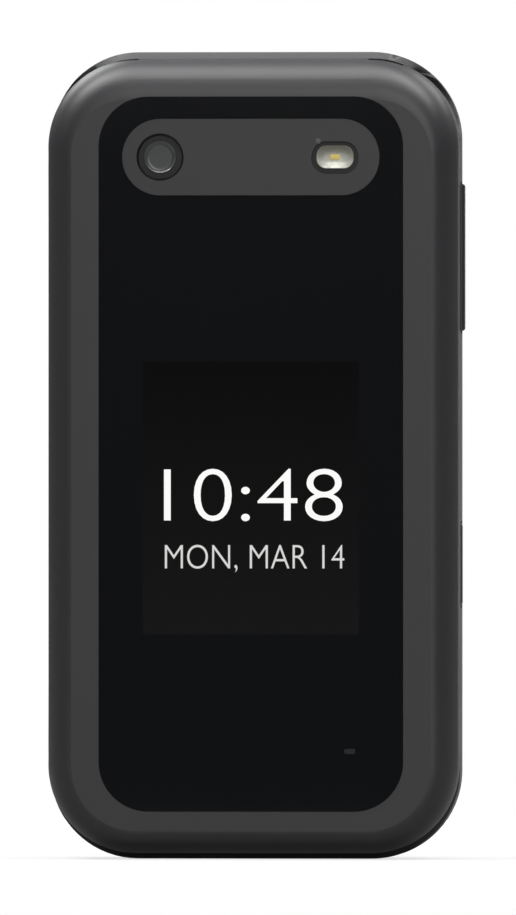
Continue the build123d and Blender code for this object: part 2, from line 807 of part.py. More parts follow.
with BuildPart() as lid_screws:
    for screw_place in (lid_screw_low, lid_screw_high):
        disc(screw_head_radius, lid_screw_seat_y, lid_screw_seat_y + screw_head_depth,
             both_sides(*screw_place))
        disc(screw_radius, lid_bay_y + lid_front_wall, lid_screw_seat_y, both_sides(*screw_place))
        disc(driver_radius, lid_screw_seat_y + screw_head_depth / 2, lid_screw_seat_y + screw_head_depth,
             both_sides(*screw_place), Mode.SUBTRACT)
lid_screws.part.label = "lid_screws"
export_step(lid_screws.part, "parts/lid_screws.step")

with BuildPart() as lid_bumpers:
    disc(bumper_radius, lid_inner_y - bumper_sink, base_front_y - bumper_gap,
         both_sides(*lid_screw_low))
    fillet(lid_bumpers.faces().group_by(Axis.Y)[-1].edges(), bumper_gap)
lid_bumpers.part.label = "lid_bumpers"
export_step(lid_bumpers.part, "parts/lid_bumpers.step")

# ---- Hinge: sprung barrel in the lid, shafts in the base's knuckles, and the cables through them ----
with BuildPart() as hinge_barrel:
    rod(barrel_radius, barrel_x, slot_inner_x - barrel_end_play)
    rod(shaft_radius + shaft_running, barrel_x + lid_wall, slot_inner_x, mode=Mode.SUBTRACT)
hinge_barrel.part.label = "hinge_barrel"
export_step(hinge_barrel.part, "parts/hinge_barrel.step")

with BuildPart() as hinge_shafts:
    rod(shaft_radius, barrel_x + 2 * lid_wall, shaft_end_x - barrel_end_play)
    rod(shaft_radius, -shaft_end_x + barrel_end_play, flex_pocket_x + shaft_running)
    rod(pin_bore_radius, -slot_outer_x, flex_pocket_x + shaft_running, mode=Mode.SUBTRACT)
hinge_shafts.part.label = "hinge_shafts"
export_step(hinge_shafts.part, "parts/hinge_shafts.step")

with BuildPart() as lid_flex:
    rod(flex_roll_radius, -knuckle_outer_x, lid_flex_x + flex_width)
    with BuildSketch(Plane.YZ.offset(lid_flex_x)) as lid_ribbon:
        with BuildLine() as lid_flex_line:
            Polyline(*lid_flex_path)
        trace(line_width=flex_thickness)
    extrude(amount=flex_width)
lid_flex.part.label = "lid_flex_cable"
export_step(lid_flex.part, "parts/lid_flex_cable.step")

with BuildPart() as base_flex:
    with BuildSketch(Plane.YZ.offset(-knuckle_outer_x + (knuckle_width - flex_width) / 2)) as base_ribbon:
        with BuildLine() as base_flex_line:
            Polyline(*base_flex_path)
        trace(line_width=flex_thickness)
    extrude(amount=flex_width)
base_flex.part.label = "base_flex_cable"
export_step(base_flex.part, "parts/base_flex_cable.step")

# ---- Front housing of the base: keypad fascia, side walls and hinge knuckles ----
with BuildPart() as front_housing:
    add(base_form.part)
    slab(front_y, seam_y)
    plate(
        phone_width - 2 * base_wall, bay_top - base_wall, corner_radius - base_wall,
        fascia_rear_y, seam_y, centre=(0, (bay_top + base_wall) / 2), mode=Mode.SUBTRACT,
    )
    plate(
        phone_width - 2 * base_wall, bay_top / 2, pocket_corner,
        fascia_rear_y, seam_y, centre=(0, bay_top * 3 / 4), mode=Mode.SUBTRACT,
    )
    for knuckle_x in (-knuckle_outer_x, knuckle_inner_x):
        with BuildSketch(Plane.YZ.offset(knuckle_x)) as knuckle:
            with Locations((axis_y, axis_z)):
                Circle(knuckle_radius)
            with BuildLine():
                Polyline(
                    (axis_y, axis_z),
                    point_at(channel_radius + fascia, neck_upper_angle),
                    (fascia_rear_y, neck_foot_z),
                    (base_front_y, neck_foot_z),
                    point_at(channel_radius, neck_lower_angle),
                    close=True,
                )
            make_face()
        extrude(amount=knuckle_width)
    rod(shaft_radius + shaft_seat, -slot_outer_x, slot_outer_x, mode=Mode.SUBTRACT)
    with BuildSketch(Plane.YZ.offset(-knuckle_outer_x + (knuckle_width - flex_width) / 2 - flex_margin / 2)):
        with BuildLine():
            Polyline(*base_flex_path[:3])
        trace(line_width=flex_thickness + flex_margin)
    extrude(amount=flex_width + flex_margin, mode=Mode.SUBTRACT)
    for key_width, key_height, key_centre in key_sizes.values():
        plate(
            key_width + 2 * key_gap, key_height + 2 * key_gap, key_corner + key_gap,
            base_front_y, fascia_rear_y, centre=key_centre, mode=Mode.SUBTRACT,
        )
    disc(nav_outer_radius + key_gap, base_front_y, fascia_rear_y, ((0, nav_z),), Mode.SUBTRACT)
    disc(boss_radius, fascia_rear_y, chassis_floor_y - solder_gap, side_screw_places)
    disc(screw_radius, fascia_rear_y, chassis_floor_y - solder_gap, side_screw_places, Mode.SUBTRACT)
    disc(screw_radius, screw_tip_y, seam_y, top_screw_places, Mode.SUBTRACT)
    for key_z, key_length in ((rocker_z, rocker_length), (emergency_z, emergency_length)):
        block(
            half_width - base_wall, half_width, side_key_y - side_slot_half, side_key_y + side_slot_half,
            key_z - key_length / 2 - side_key_end_gap, key_z + key_length / 2 + side_key_end_gap,
            mode=Mode.SUBTRACT,
        )
    with BuildSketch(Plane.XY):
        with Locations((0, usb_y)):
            RectangleRounded(usb_width + 2 * port_fit, usb_height + 2 * port_fit, usb_corner + port_fit)
        with Locations((microphone_x, microphone_y)):
            Circle(microphone_hole_radius)
    extrude(amount=base_wall, mode=Mode.SUBTRACT)
    rod(jack_sleeve_radius + shaft_running, -half_width, base_wall - half_width,
        (jack_y, jack_z), Mode.SUBTRACT)
front_housing.part.label = "front_housing"
export_step(front_housing.part, "parts/front_housing.step")

# ---- Rear chassis: middle band, battery pocket and the bays above and below it ----
with BuildPart() as rear_chassis:
    add(base_form.part)
    slab(seam_y, cover_seam_y)
    add(back_hollow.part)
    slab(seam_y, chassis_rear_y)
    plate(
        phone_width - 2 * (base_wall + inner_fit), bay_top - base_wall - 2 * inner_fit,
        corner_radius - base_wall - inner_fit, chassis_floor_y, seam_y,
        centre=(0, (bay_top + base_wall) / 2),
    )
    plate(
        battery_width + 2 * battery_fit, battery_length + 2 * battery_fit, battery_corner,
        battery_floor_y, chassis_rear_y, centre=(0, battery_z), mode=Mode.SUBTRACT,
    )
    plate(
        upper_pocket_width, upper_pocket_height, pocket_corner, battery_floor_y, chassis_rear_y,
        centre=(0, speaker_z),
        mode=Mode.SUBTRACT,
    )
    plate(
        lower_pocket_width, lower_pocket_high - lower_pocket_low, lower_pocket_corner,
        battery_floor_y, chassis_rear_y, centre=(0, (lower_pocket_high + lower_pocket_low) / 2),
        mode=Mode.SUBTRACT,
    )
    block(
        -contact_width / 2 - inner_fit, contact_width / 2 + inner_fit, chassis_floor_y,
        contact_rear_y + inner_fit, battery_pocket_high - battery_fit, upper_pocket_low,
        mode=Mode.SUBTRACT,
    )
    block(
        -usb_width / 2 - port_fit, usb_width / 2 + port_fit, chassis_floor_y, seam_y,
        0, usb_inset + usb_depth + port_fit, mode=Mode.SUBTRACT,
    )
    block(
        -half_width, -half_width + base_wall + jack_length + port_fit, chassis_floor_y, seam_y,
        jack_z - jack_body_half - port_fit, jack_z + jack_body_half + port_fit, mode=Mode.SUBTRACT,
    )
    disc(screw_radius + screw_fit, chassis_floor_y, chassis_screw_seat_y, side_screw_places, Mode.SUBTRACT)
    disc(screw_radius + screw_fit, seam_y, chassis_screw_seat_y, top_screw_places, Mode.SUBTRACT)
    disc(screw_head_radius + screw_fit, chassis_screw_seat_y, chassis_rear_y,
         side_screw_places + top_screw_places, Mode.SUBTRACT)
rear_chassis.part.label = "rear_chassis"
export_step(rear_chassis.part, "parts/rear_chassis.step")

# ---- Back cover: removable shell with speaker slots and a pry notch ----
with BuildPart() as back_cover:
    add(base_form.part)
    slab(cover_seam_y + cover_seam_gap, phone_depth)
    add(back_hollow.part, mode=Mode.SUBTRACT)
    with BuildSketch(facing(cover_inner_y - fascia)) as grille:
        with Locations((speaker_x, speaker_z)):
            with GridLocations(0, speaker_slot_pitch, 1, speaker_slot_count):
                SlotOverall(speaker_slot_width, speaker_slot_height)
    extrude(amount=-(cover_wall + 2 * fascia), mode=Mode.SUBTRACT)
    block(
        -pry_width / 2, pry_width / 2, cover_seam_y, cover_seam_y + pry_depth, 0, cover_wall,
        mode=Mode.SUBTRACT,
    )
back_cover.part.label = "back_cover"
export_step(back_cover.part, "parts/back_cover.step")

# ---- Battery and its contact block ----
with BuildPart() as battery:
    plate(battery_width, battery_length, battery_corner, battery_y, battery_rear_y, centre=(0, battery_z))
    fillet(battery.edges().group_by(Axis.Y)[-1], battery_edge_round)
battery.part.label = "battery"
export_step(battery.part, "parts/battery.step")

with BuildPart() as battery_contacts:
    block(
        -contact_width / 2, contact_width / 2, board_rear_y, contact_rear_y,
        battery_pocket_high + inner_fit, upper_pocket_low - inner_fit,
    )
    with BuildSketch(Plane.XY.offset(battery_pocket_high - battery_fit + solder_gap)) as contact_pins:
        with Locations((0, contact_rear_y - contact_depth / 2)):
            with GridLocations(contact_pin_pitch, 0, contact_pin_count, 1):
                Circle(contact_pin_radius)
    extrude(amount=battery_fit + inner_fit)
battery_contacts.part.label = "battery_contacts"
export_step(battery_contacts.part, "parts/battery_contacts.step")

# ---- Main board, shield cans, dome sheet and key mat ----
with BuildPart() as main_board:
    plate(
        board_width, board_high - board_low, board_corner, board_y, board_y + board_thickness,
        centre=(0, (board_low + board_high) / 2),
    )
    disc(boss_radius + board_cut_margin, board_y, board_y + board_thickness, side_screw_places,
         Mode.SUBTRACT)
    block(
        -half_width, -half_width + base_wall + jack_length + port_fit, board_y,
        board_y + board_thickness, jack_z - jack_body_half - port_fit,
        jack_z + jack_body_half + port_fit, mode=Mode.SUBTRACT,
    )
main_board.part.label = "main_board"
export_step(main_board.part, "parts/main_board.step")

with BuildPart() as shield_cans:
    for can_size, can_place in zip(shield_sizes, shield_places):
        plate(*can_size, screw_head_radius, board_rear_y, board_rear_y + shield_depth, centre=can_place)
        plate(
            can_size[0] - 2 * shield_wall, can_size[1] - 2 * shield_wall,
            screw_head_radius - shield_wall, board_rear_y, board_rear_y + shield_depth - shield_wall,
            centre=can_place, mode=Mode.SUBTRACT,
        )
shield_cans.part.label = "shield_cans"
export_step(shield_cans.part, "parts/shield_cans.step")

with BuildPart() as dome_sheet:
    plate(*mat_size, dome_radius, dome_y, board_y - solder_gap, centre=(0, mat_centre_z))
    disc(dome_radius, dome_y - dome_height, dome_y, key_centres)
    disc(nav_peg_radius, dome_y - dome_height, dome_y, nav_peg_places)
dome_sheet.part.label = "dome_sheet"
export_step(dome_sheet.part, "parts/dome_sheet.step")

with BuildPart() as key_mat:
    plate(*mat_size, dome_radius, mat_y, mat_y + mat_thickness, centre=(0, mat_centre_z))
    disc(dome_radius + mat_hole_margin, mat_y, mat_y + mat_thickness, key_centres, Mode.SUBTRACT)
    disc(nav_peg_radius + mat_hole_margin, mat_y, mat_y + mat_thickness, nav_peg_places, Mode.SUBTRACT)
key_mat.part.label = "key_mat"
export_step(key_mat.part, "parts/key_mat.step")

# ---- Keys: a cap through the fascia, a flange behind it and a peg over the dome ----
for key_name, (key_width, key_height, key_centre) in key_sizes.items():
    with BuildPart() as key:
        plate(key_width, key_height, key_corner, key_face_y, key_flange_y, centre=key_centre)
        fillet(key.faces().sort_by(Axis.Y)[0].edges(), key_edge_round)
        plate(
            key_width + 2 * key_flange, key_height + 2 * key_flange, key_corner + key_flange,
            key_flange_y, key_flange_y + key_flange_thickness, centre=key_centre,
        )
        disc(key_peg_radius, key_flange_y + key_flange_thickness, key_peg_end_y, (key_centre,))
    key.part.label = key_name
    export_step(key.part, f"parts/{key_name}.step")

with BuildPart() as nav_ring:
    disc(nav_outer_radius, key_face_y, key_flange_y, ((0, nav_z),))
    fillet(nav_ring.faces().sort_by(Axis.Y)[0].edges(), key_edge_round)
    disc(nav_outer_radius + key_flange, key_flange_y, key_flange_y + key_flange_thickness, ((0, nav_z),))
    disc(nav_inner_radius, key_face_y, key_flange_y + key_flange_thickness, ((0, nav_z),), Mode.SUBTRACT)
    disc(nav_peg_radius, key_flange_y + key_flange_thickness, key_peg_end_y, nav_peg_places)
nav_ring.part.label = "nav_ring"
export_step(nav_ring.part, "parts/nav_ring.step")

with BuildPart() as ok_key:
    disc(ok_radius, key_face_y, key_flange_y + key_flange_thickness, ((0, nav_z),))
    fillet(ok_key.faces().sort_by(Axis.Y)[0].edges(), key_edge_round)
    disc(key_peg_radius, key_flange_y + key_flange_thickness, key_peg_end_y, ((0, nav_z),))
ok_key.part.label = "ok_key"
export_step(ok_key.part, "parts/ok_key.step")

# ---- Side keys and the switches behind them ----
side_keys = (
    ("volume_rocker", rocker_z, rocker_length, rocker_proud),
    ("emergency_key", emergency_z, emergency_length, emergency_proud),
)
for key_name, key_z, key_length, key_proud in side_keys:
    with BuildPart() as side_key:
        block(
            side_flange_x, half_width + key_proud, side_key_y - side_key_width / 2,
            side_key_y + side_key_width / 2, key_z - key_length / 2, key_z + key_length / 2,
        )
        fillet(side_key.faces().sort_by(Axis.X)[-1].edges(), side_key_round)
        block(
            side_flange_x - side_flange_depth, side_flange_x, side_key_y - side_key_width / 2,
            side_key_y + side_key_width / 2, key_z - key_length / 2 - side_flange_margin,
            key_z + key_length / 2 + side_flange_margin,
        )
    side_key.part.label = key_name
    export_step(side_key.part, f"parts/{key_name}.step")

with BuildPart() as side_switches:
    for switch_z in (rocker_z + rocker_switch_spread, rocker_z - rocker_switch_spread, emergency_z):
        block(
            switch_x - switch_width / 2, switch_x + switch_width / 2, board_rear_y,
            board_rear_y + switch_depth, switch_z - switch_height / 2, switch_z + switch_height / 2,
        )
side_switches.part.label = "side_switches"
export_step(side_switches.part, "parts/side_switches.step")

# ---- Sockets in the lower end and the left side ----
with BuildPart() as usb_port:
    with BuildSketch(Plane.XY.offset(usb_inset)) as usb_outer:
        with Locations((0, usb_y)):
            RectangleRounded(usb_width, usb_height, usb_corner)
    extrude(amount=usb_depth)
    with BuildSketch(Plane.XY.offset(usb_inset)) as usb_mouth:
        with Locations((0, usb_y)):
            RectangleRounded(usb_width - 2 * usb_wall, usb_height - 2 * usb_wall, usb_corner - usb_wall)
    extrude(amount=usb_depth - usb_wall, mode=Mode.SUBTRACT)
    with BuildSketch(Plane.XY.offset(2 * usb_inset + usb_wall)) as usb_tongue:
        with Locations((0, usb_y)):
            Rectangle(usb_tongue_width, usb_tongue_height)
    extrude(amount=usb_depth - 2 * usb_wall - usb_inset)
usb_port.part.label = "usb_port"
export_step(usb_port.part, "parts/usb_port.step")

with BuildPart() as headphone_jack:
    block(
        jack_mouth_x + base_wall, jack_mouth_x + base_wall + jack_length - inner_fit,
        jack_y - jack_sleeve_radius, jack_y + jack_sleeve_radius,
        jack_z - jack_body_half, jack_z + jack_body_half,
    )
    rod(jack_sleeve_radius, jack_mouth_x, jack_mouth_x + base_wall, (jack_y, jack_z))
    rod(jack_radius, jack_mouth_x, jack_mouth_x + jack_length, (jack_y, jack_z), Mode.SUBTRACT)
headphone_jack.part.label = "headphone_jack"
export_step(headphone_jack.part, "parts/headphone_jack.step")

# ---- Microphone, loudspeaker, vibration motor, card holder and antenna ----
with BuildPart() as microphone:
    block(
        microphone_x - microphone_size[0] / 2, microphone_x + microphone_size[0] / 2, board_rear_y,
        board_rear_y + microphone_size[1], board_low + inner_fit,
        board_low + inner_fit + microphone_size[2],
    )
microphone.part.label = "microphone"
export_step(microphone.part, "parts/microphone.step")

with BuildPart() as loudspeaker:
    plate(
        speaker_width, speaker_height, speaker_corner, battery_y, battery_y + speaker_depth,
        centre=(speaker_x, speaker_z),
    )
    plate(
        speaker_width - 2 * base_wall, speaker_recess_height, speaker_recess_corner,
        battery_y + speaker_depth - chassis_floor, battery_y + speaker_depth,
        centre=(speaker_x, speaker_z), mode=Mode.SUBTRACT,
    )
loudspeaker.part.label = "loudspeaker"
export_step(loudspeaker.part, "parts/loudspeaker.step")

with BuildPart() as vibration_motor:
    disc(motor_radius, battery_y, battery_y + motor_depth, ((motor_x, motor_z),))
    fillet(vibration_motor.edges().group_by(Axis.Y)[-1], battery_edge_round)
vibration_motor.part.label = "vibration_motor"
export_step(vibration_motor.part, "parts/vibration_motor.step")

with BuildPart() as card_holder:
    plate(
        card_width, card_height, component_corner, battery_y, battery_y + card_depth,
        centre=(card_x, speaker_z),
    )
    block(
        card_x - card_width / 2, card_x + card_width / 2 - base_wall, battery_y + card_wall,
        battery_y + card_depth - card_wall, speaker_z - card_height / 2 + base_wall,
        speaker_z + card_height / 2 - base_wall, mode=Mode.SUBTRACT,
    )
card_holder.part.label = "sim_and_card_holder"
export_step(card_holder.part, "parts/sim_and_card_holder.step")

with BuildPart() as antenna:
    plate(
        antenna_width, antenna_height, component_corner, battery_y, battery_y + antenna_depth,
        centre=(antenna_x, motor_z),
    )
    with BuildSketch(facing(battery_y)) as antenna_cells:
        with Locations((antenna_x, motor_z)):
            with GridLocations(antenna_cell + antenna_rib, 0, antenna_cell_count, 1):
                Rectangle(antenna_cell, antenna_height - 2 * antenna_rib)
    extrude(amount=antenna_rib - antenna_depth, mode=Mode.SUBTRACT)
antenna.part.label = "antenna"
export_step(antenna.part, "parts/antenna.step")

# ---- Screws through the chassis into the front housing ----
with BuildPart() as base_screws:
    disc(screw_head_radius, chassis_screw_seat_y, chassis_screw_seat_y + screw_head_depth,
         side_screw_places + top_screw_places)
    disc(driver_radius, chassis_screw_seat_y + screw_head_depth / 2,
         chassis_screw_seat_y + screw_head_depth, side_screw_places + top_screw_places, Mode.SUBTRACT)
    disc(screw_radius, screw_tip_y, chassis_screw_seat_y, side_screw_places + top_screw_places)
base_screws.part.label = "base_screws"
export_step(base_screws.part, "parts/base_screws.step")
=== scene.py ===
"""Looks of the clamshell phone: its shells, cover display, camera strip, keypad and ports.

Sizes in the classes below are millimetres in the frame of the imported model: X runs across the
phone, Y from the lid's outer face to the back cover, and Z up from the lower end.
"""
import logging
import math
from dataclasses import dataclass, field
from enum import Enum
from typing import Callable, Iterable

import bmesh
import bpy
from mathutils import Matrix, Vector


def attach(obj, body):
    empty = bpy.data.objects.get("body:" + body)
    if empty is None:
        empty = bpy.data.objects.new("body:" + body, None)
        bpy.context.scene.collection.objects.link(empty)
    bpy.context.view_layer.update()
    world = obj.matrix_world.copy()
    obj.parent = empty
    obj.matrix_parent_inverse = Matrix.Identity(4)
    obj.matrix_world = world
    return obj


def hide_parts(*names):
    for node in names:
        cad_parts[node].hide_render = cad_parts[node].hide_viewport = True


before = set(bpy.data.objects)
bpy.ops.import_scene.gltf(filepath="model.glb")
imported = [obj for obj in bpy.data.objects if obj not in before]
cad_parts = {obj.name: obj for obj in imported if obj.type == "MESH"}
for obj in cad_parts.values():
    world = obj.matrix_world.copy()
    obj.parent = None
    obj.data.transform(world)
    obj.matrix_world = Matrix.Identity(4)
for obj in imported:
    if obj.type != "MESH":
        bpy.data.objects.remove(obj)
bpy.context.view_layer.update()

LOG = logging.getLogger("phone")
MM = 0.001
# Points closer than MERGE become one, and cutting tools reach OVER_CUT past a face: millimetres.
MERGE = 0.0005
OVER_CUT = 0.1
QUARTER_TURN = 90.0
Colour = tuple[float, float, float]
Place = tuple[float, float]


class Body(Enum):
    """The bodies that new pieces ride on."""

    LID = "lid"
    BASE = "base"


class Facing(Enum):
    """Ways that a face can look."""

    FRONT = (0.0, -1.0, 0.0)
    LEFT = (-1.0, 0.0, 0.0)


# The display curve: a straight line up to the knee, and a power above it.
DISPLAY_MAX = 255
DISPLAY_KNEE, DISPLAY_SLOPE, DISPLAY_OFFSET, DISPLAY_POWER = 0.04045, 12.92, 0.055, 2.4


def srgb(red: float, green: float, blue: float) -> Colour:
    """Turns a colour given in 0 to 255 display values into linear light.

    Args:
        red: Red display value.
        green: Green display value.
        blue: Blue display value.

    Returns:
        The three linear values.
    """
    def linear(value: float) -> float:
        """Undoes the display curve for one channel."""
        part = value / DISPLAY_MAX
        if part <= DISPLAY_KNEE:
            return part / DISPLAY_SLOPE
        return ((part + DISPLAY_OFFSET) / (1 + DISPLAY_OFFSET)) ** DISPLAY_POWER

    return linear(red), linear(green), linear(blue)


# ---------------------------------------------------------------- node trees


class Wiring:
    """Adds and joins the nodes of one tree."""

    # A Mix node has sockets for every data type; these are its factor and its two colours.
    MIX_INPUTS = (0, 6, 7)
    MIX_OUTPUT = 2

    def __init__(self, tree: bpy.types.NodeTree) -> None:
        """Starts on an emptied tree.

        Args:
            tree: The node tree of a material, world or group.
        """
        self.tree = tree
        tree.nodes.clear()

    def node(self, kind: str, **inputs: object) -> bpy.types.Node:
        """Adds a node; keywords set its properties, or its inputs where no property has that name.

        Args:
            kind: The node's type name.
            inputs: Values by property name, or by input name with _ for spaces.

        Returns:
            The new node.
        """
        made = self.tree.nodes.new(kind)
        for key, value in inputs.items():
            if hasattr(made, key):
                setattr(made, key, value)
            else:
                made.inputs[key.replace("_", " ")].default_value = value
        return made

    def join(self, source: bpy.types.NodeSocket, target: bpy.types.NodeSocket) -> None:
        """Links one output to one input."""
        self.tree.links.new(source, target)

    def maths(self, operation: str, first: object, second: object = 0.0) -> bpy.types.NodeSocket:
        """Adds a Math node.

        Args:
            operation: The Math operation.
            first: A socket or a number.
            second: A socket or a number.

        Returns:
            The result's socket.
        """
        made = self.node("ShaderNodeMath", operation=operation)
        for place, value in enumerate((first, second)):
            if isinstance(value, (int, float)):
                made.inputs[place].default_value = value
            else:
                self.join(value, made.inputs[place])
        return made.outputs[0]

    def fade(self, source: bpy.types.NodeSocket, start: float, end: float, curve: str = "LINEAR",
             low: float = 0.0, high: float = 1.0) -> bpy.types.NodeSocket:
        """Goes from low to high while a value goes from start to end, and stays there beyond.

        Args:
            source: The value.
            start: Where the result is low.
            end: Where the result is high.
            curve: The Map Range interpolation.
            low: The first result.
            high: The last result.

        Returns:
            The result's socket.
        """
        made = self.node("ShaderNodeMapRange", interpolation_type=curve)
        limits = {"From Min": start, "From Max": end, "To Min": low, "To Max": high}
        for label, value in limits.items():
            made.inputs[label].default_value = value
        self.join(source, made.inputs["Value"])
        return made.outputs["Result"]

    def spread(self, source: bpy.types.NodeSocket, low: float, high: float) -> bpy.types.NodeSocket:
        """Spreads a value of 0 to 1 between two numbers."""
        return self.fade(source, 0.0, 1.0, low=low, high=high)

    def pattern(self, kind: str, vector: bpy.types.NodeSocket, **inputs: object) -> bpy.types.Node:
        """Adds a texture node that reads the given coordinates."""
        made = self.node(kind, **inputs)
        self.join(vector, made.inputs["Vector"])
        return made

    def mix(self, factor: object, first: object, second: object) -> bpy.types.NodeSocket:
        """Mixes two colours.

        Args:
            factor: A socket or a number from 0 to 1.
            first: A colour or a socket, shown at 0.
            second: A colour or a socket, shown at 1.

        Returns:
            The mixed colour's socket.
        """
        made = self.node("ShaderNodeMix", data_type="RGBA")
        for place, value in zip(self.MIX_INPUTS, (factor, first, second)):
            socket = made.inputs[place]
            if isinstance(value, bpy.types.NodeSocket):
                self.join(value, socket)
            elif isinstance(value, tuple):
                socket.default_value = (*value, 1.0)
            else:
                socket.default_value = value
        return made.outputs[self.MIX_OUTPUT]


def new_group(name: str, inputs: dict[str, float], outputs: Iterable[str]) -> tuple[Wiring, object, object]:
    """Starts a shader node group.

    Args:
        name: The group's name.
        inputs: Number inputs with their defaults; a Vector input is always there.
        outputs: Names of the outputs; one called Normal is a vector and the rest are numbers.

    Returns:
        The group's wiring and its input and output nodes.
    """
    tree = bpy.data.node_groups.new(name, "ShaderNodeTree")
    tree.interface.new_socket("Vector", in_out="INPUT", socket_type="NodeSocketVector")
    for label, value in inputs.items():
        socket = tree.interface.new_socket(label, in_out="INPUT", socket_type="NodeSocketFloat")
        socket.default_value = value
    for label in outputs:
        kind = "NodeSocketVector" if label == "Normal" else "NodeSocketFloat"
        tree.interface.new_socket(label, in_out="OUTPUT", socket_type=kind)
    wiring = Wiring(tree)
    return wiring, wiring.node("NodeGroupInput"), wiring.node("NodeGroupOutput")


# How coarse the fuzz over the pebbles is, as a share of their scale.
FUZZ_SHARE = 0.7


def build_grain_group() -> bpy.types.NodeTree:
    """Fine pebbled grain of a moulded face: a normal, and a tone that drifts slowly around one."""
    wiring, given, made = new_group(
        "moulded_grain", {"Grain Size": 0.0002, "Grain Depth": 0.3, "Mottle": 0.1}, ("Normal", "Tone")
    )
    scale = wiring.maths("DIVIDE", 1.0, given.outputs["Grain Size"])
    pebbles = wiring.pattern("ShaderNodeTexVoronoi", given.outputs["Vector"], feature="SMOOTH_F1")
    wiring.join(scale, pebbles.inputs["Scale"])
    fuzz = wiring.pattern("ShaderNodeTexNoise", given.outputs["Vector"], Detail=3.0)
    wiring.join(wiring.maths("MULTIPLY", scale, FUZZ_SHARE), fuzz.inputs["Scale"])
    height = wiring.maths("ADD", pebbles.outputs["Distance"], fuzz.outputs["Fac"])
    bump = wiring.node("ShaderNodeBump", Distance=0.00002)
    wiring.join(given.outputs["Grain Depth"], bump.inputs["Strength"])
    wiring.join(height, bump.inputs["Height"])
    wiring.join(bump.outputs["Normal"], made.inputs["Normal"])
    drift = wiring.pattern(
        "ShaderNodeTexNoise", given.outputs["Vector"], Scale=45.0, Detail=4.0, Roughness=0.6
    )
    centred = wiring.maths("SUBTRACT", drift.outputs["Fac"], 0.5)
    tone = wiring.maths("MULTIPLY", centred, given.outputs["Mottle"])
    wiring.join(wiring.maths("ADD", tone, 1.0), made.inputs["Tone"])
    return wiring.tree


def build_handling_group() -> bpy.types.NodeTree:
    """Faint smudges left by hands and cloths: a roughness that varies around its middle value."""
    wiring, given, made = new_group("handling", {"Roughness": 0.3, "Spread": 0.05}, ("Roughness",))
    smears = wiring.pattern(
        "ShaderNodeTexNoise", given.outputs["Vector"],
        Scale=28.0, Detail=5.0, Roughness=0.65, Distortion=1.2
    )
    centred = wiring.maths("SUBTRACT", smears.outputs["Fac"], 0.5)
    swing = wiring.maths("MULTIPLY", centred, wiring.maths("MULTIPLY", given.outputs["Spread"], 2.0))
    wiring.join(wiring.maths("ADD", given.outputs["Roughness"], swing), made.inputs["Roughness"])
    return wiring.tree


GRAIN = build_grain_group()
HANDLING = build_handling_group()


# ---------------------------------------------------------------- finishes


class Dresser:
    """Starts a material with a Principled BSDF and the coordinates that its patterns read."""

    def __init__(self, name: str) -> None:
        """Makes the material.

        Args:
            name: The material's name.
        """
        self.material = bpy.data.materials.new(name)
        self.material.use_nodes = True
        self.wiring = Wiring(self.material.node_tree)
        self.shader = self.wiring.node("ShaderNodeBsdfPrincipled")
        output = self.wiring.node("ShaderNodeOutputMaterial")
        self.wiring.join(self.shader.outputs["BSDF"], output.inputs["Surface"])
        self.place = self.wiring.node("ShaderNodeTexCoord").outputs["Object"]

    def set(self, **values: object) -> None:
        """Sets constants on the shader's own sockets, with _ for spaces in their names."""
        for key, value in values.items():
            socket = self.shader.inputs[key.replace("_", " ")]
            socket.default_value = (*value, 1.0) if isinstance(value, tuple) else value

    def feed(self, source: bpy.types.NodeSocket, name: str) -> None:
        """Links a value that changes over the surface to one of the shader's sockets."""
        self.wiring.join(source, self.shader.inputs[name])

    def group(self, tree: bpy.types.NodeTree, **inputs: float) -> bpy.types.Node:
        """Places a node group that reads the object coordinates.

        Args:
            tree: The group.
            inputs: Its number inputs, with _ for spaces.

        Returns:
            The group node.
        """
        made = self.wiring.node("ShaderNodeGroup", node_tree=tree)
        self.wiring.join(self.place, made.inputs["Vector"])
        for key, value in inputs.items():
            made.inputs[key.replace("_", " ")].default_value = value
        return made

    def tinted(self, tint: Colour, tone: bpy.types.NodeSocket) -> bpy.types.NodeSocket:
        """A colour made lighter and darker by a tone around one."""
        made = self.wiring.node("ShaderNodeVectorMath", operation="SCALE")
        made.inputs[0].default_value = tint
        self.wiring.join(tone, made.inputs["Scale"])
        return made.outputs[0]


@dataclass(frozen=True)
class MouldedPlastic:
    """Plastic straight from a grained mould, or painted over it."""

    name: str
    tint: Colour
    roughness: float = 0.42
    grain_size: float = 0.2
    grain_depth: float = 0.25
    mottle: float = 0.1
    spread: float = 0.05

    def material(self) -> bpy.types.Material:
        """Builds the material."""
        dress = Dresser(self.name)
        grain = dress.group(
            GRAIN, Grain_Size=self.grain_size * MM, Grain_Depth=self.grain_depth, Mottle=self.mottle
        )
        hands = dress.group(HANDLING, Roughness=self.roughness, Spread=self.spread)
        dress.feed(dress.tinted(self.tint, grain.outputs["Tone"]), "Base Color")
        dress.feed(grain.outputs["Normal"], "Normal")
        dress.feed(hands.outputs["Roughness"], "Roughness")
        return dress.material


@dataclass(frozen=True)
class PolishedPanel:
    """Clear hard-coated panel over black print: very dark and smooth, with faint smears."""

    name: str
    tint: Colour
    roughness: float = 0.06
    spread: float = 0.02

    def material(self) -> bpy.types.Material:
        """Builds the material."""
        dress = Dresser(self.name)
        hands = dress.group(HANDLING, Roughness=self.roughness, Spread=self.spread)
        grain = dress.group(GRAIN, Grain_Size=3.0 * MM, Grain_Depth=0.02, Mottle=0.3)
        dress.feed(dress.tinted(self.tint, grain.outputs["Tone"]), "Base Color")
        dress.feed(hands.outputs["Roughness"], "Roughness")
        dress.feed(grain.outputs["Normal"], "Normal")
        return dress.material


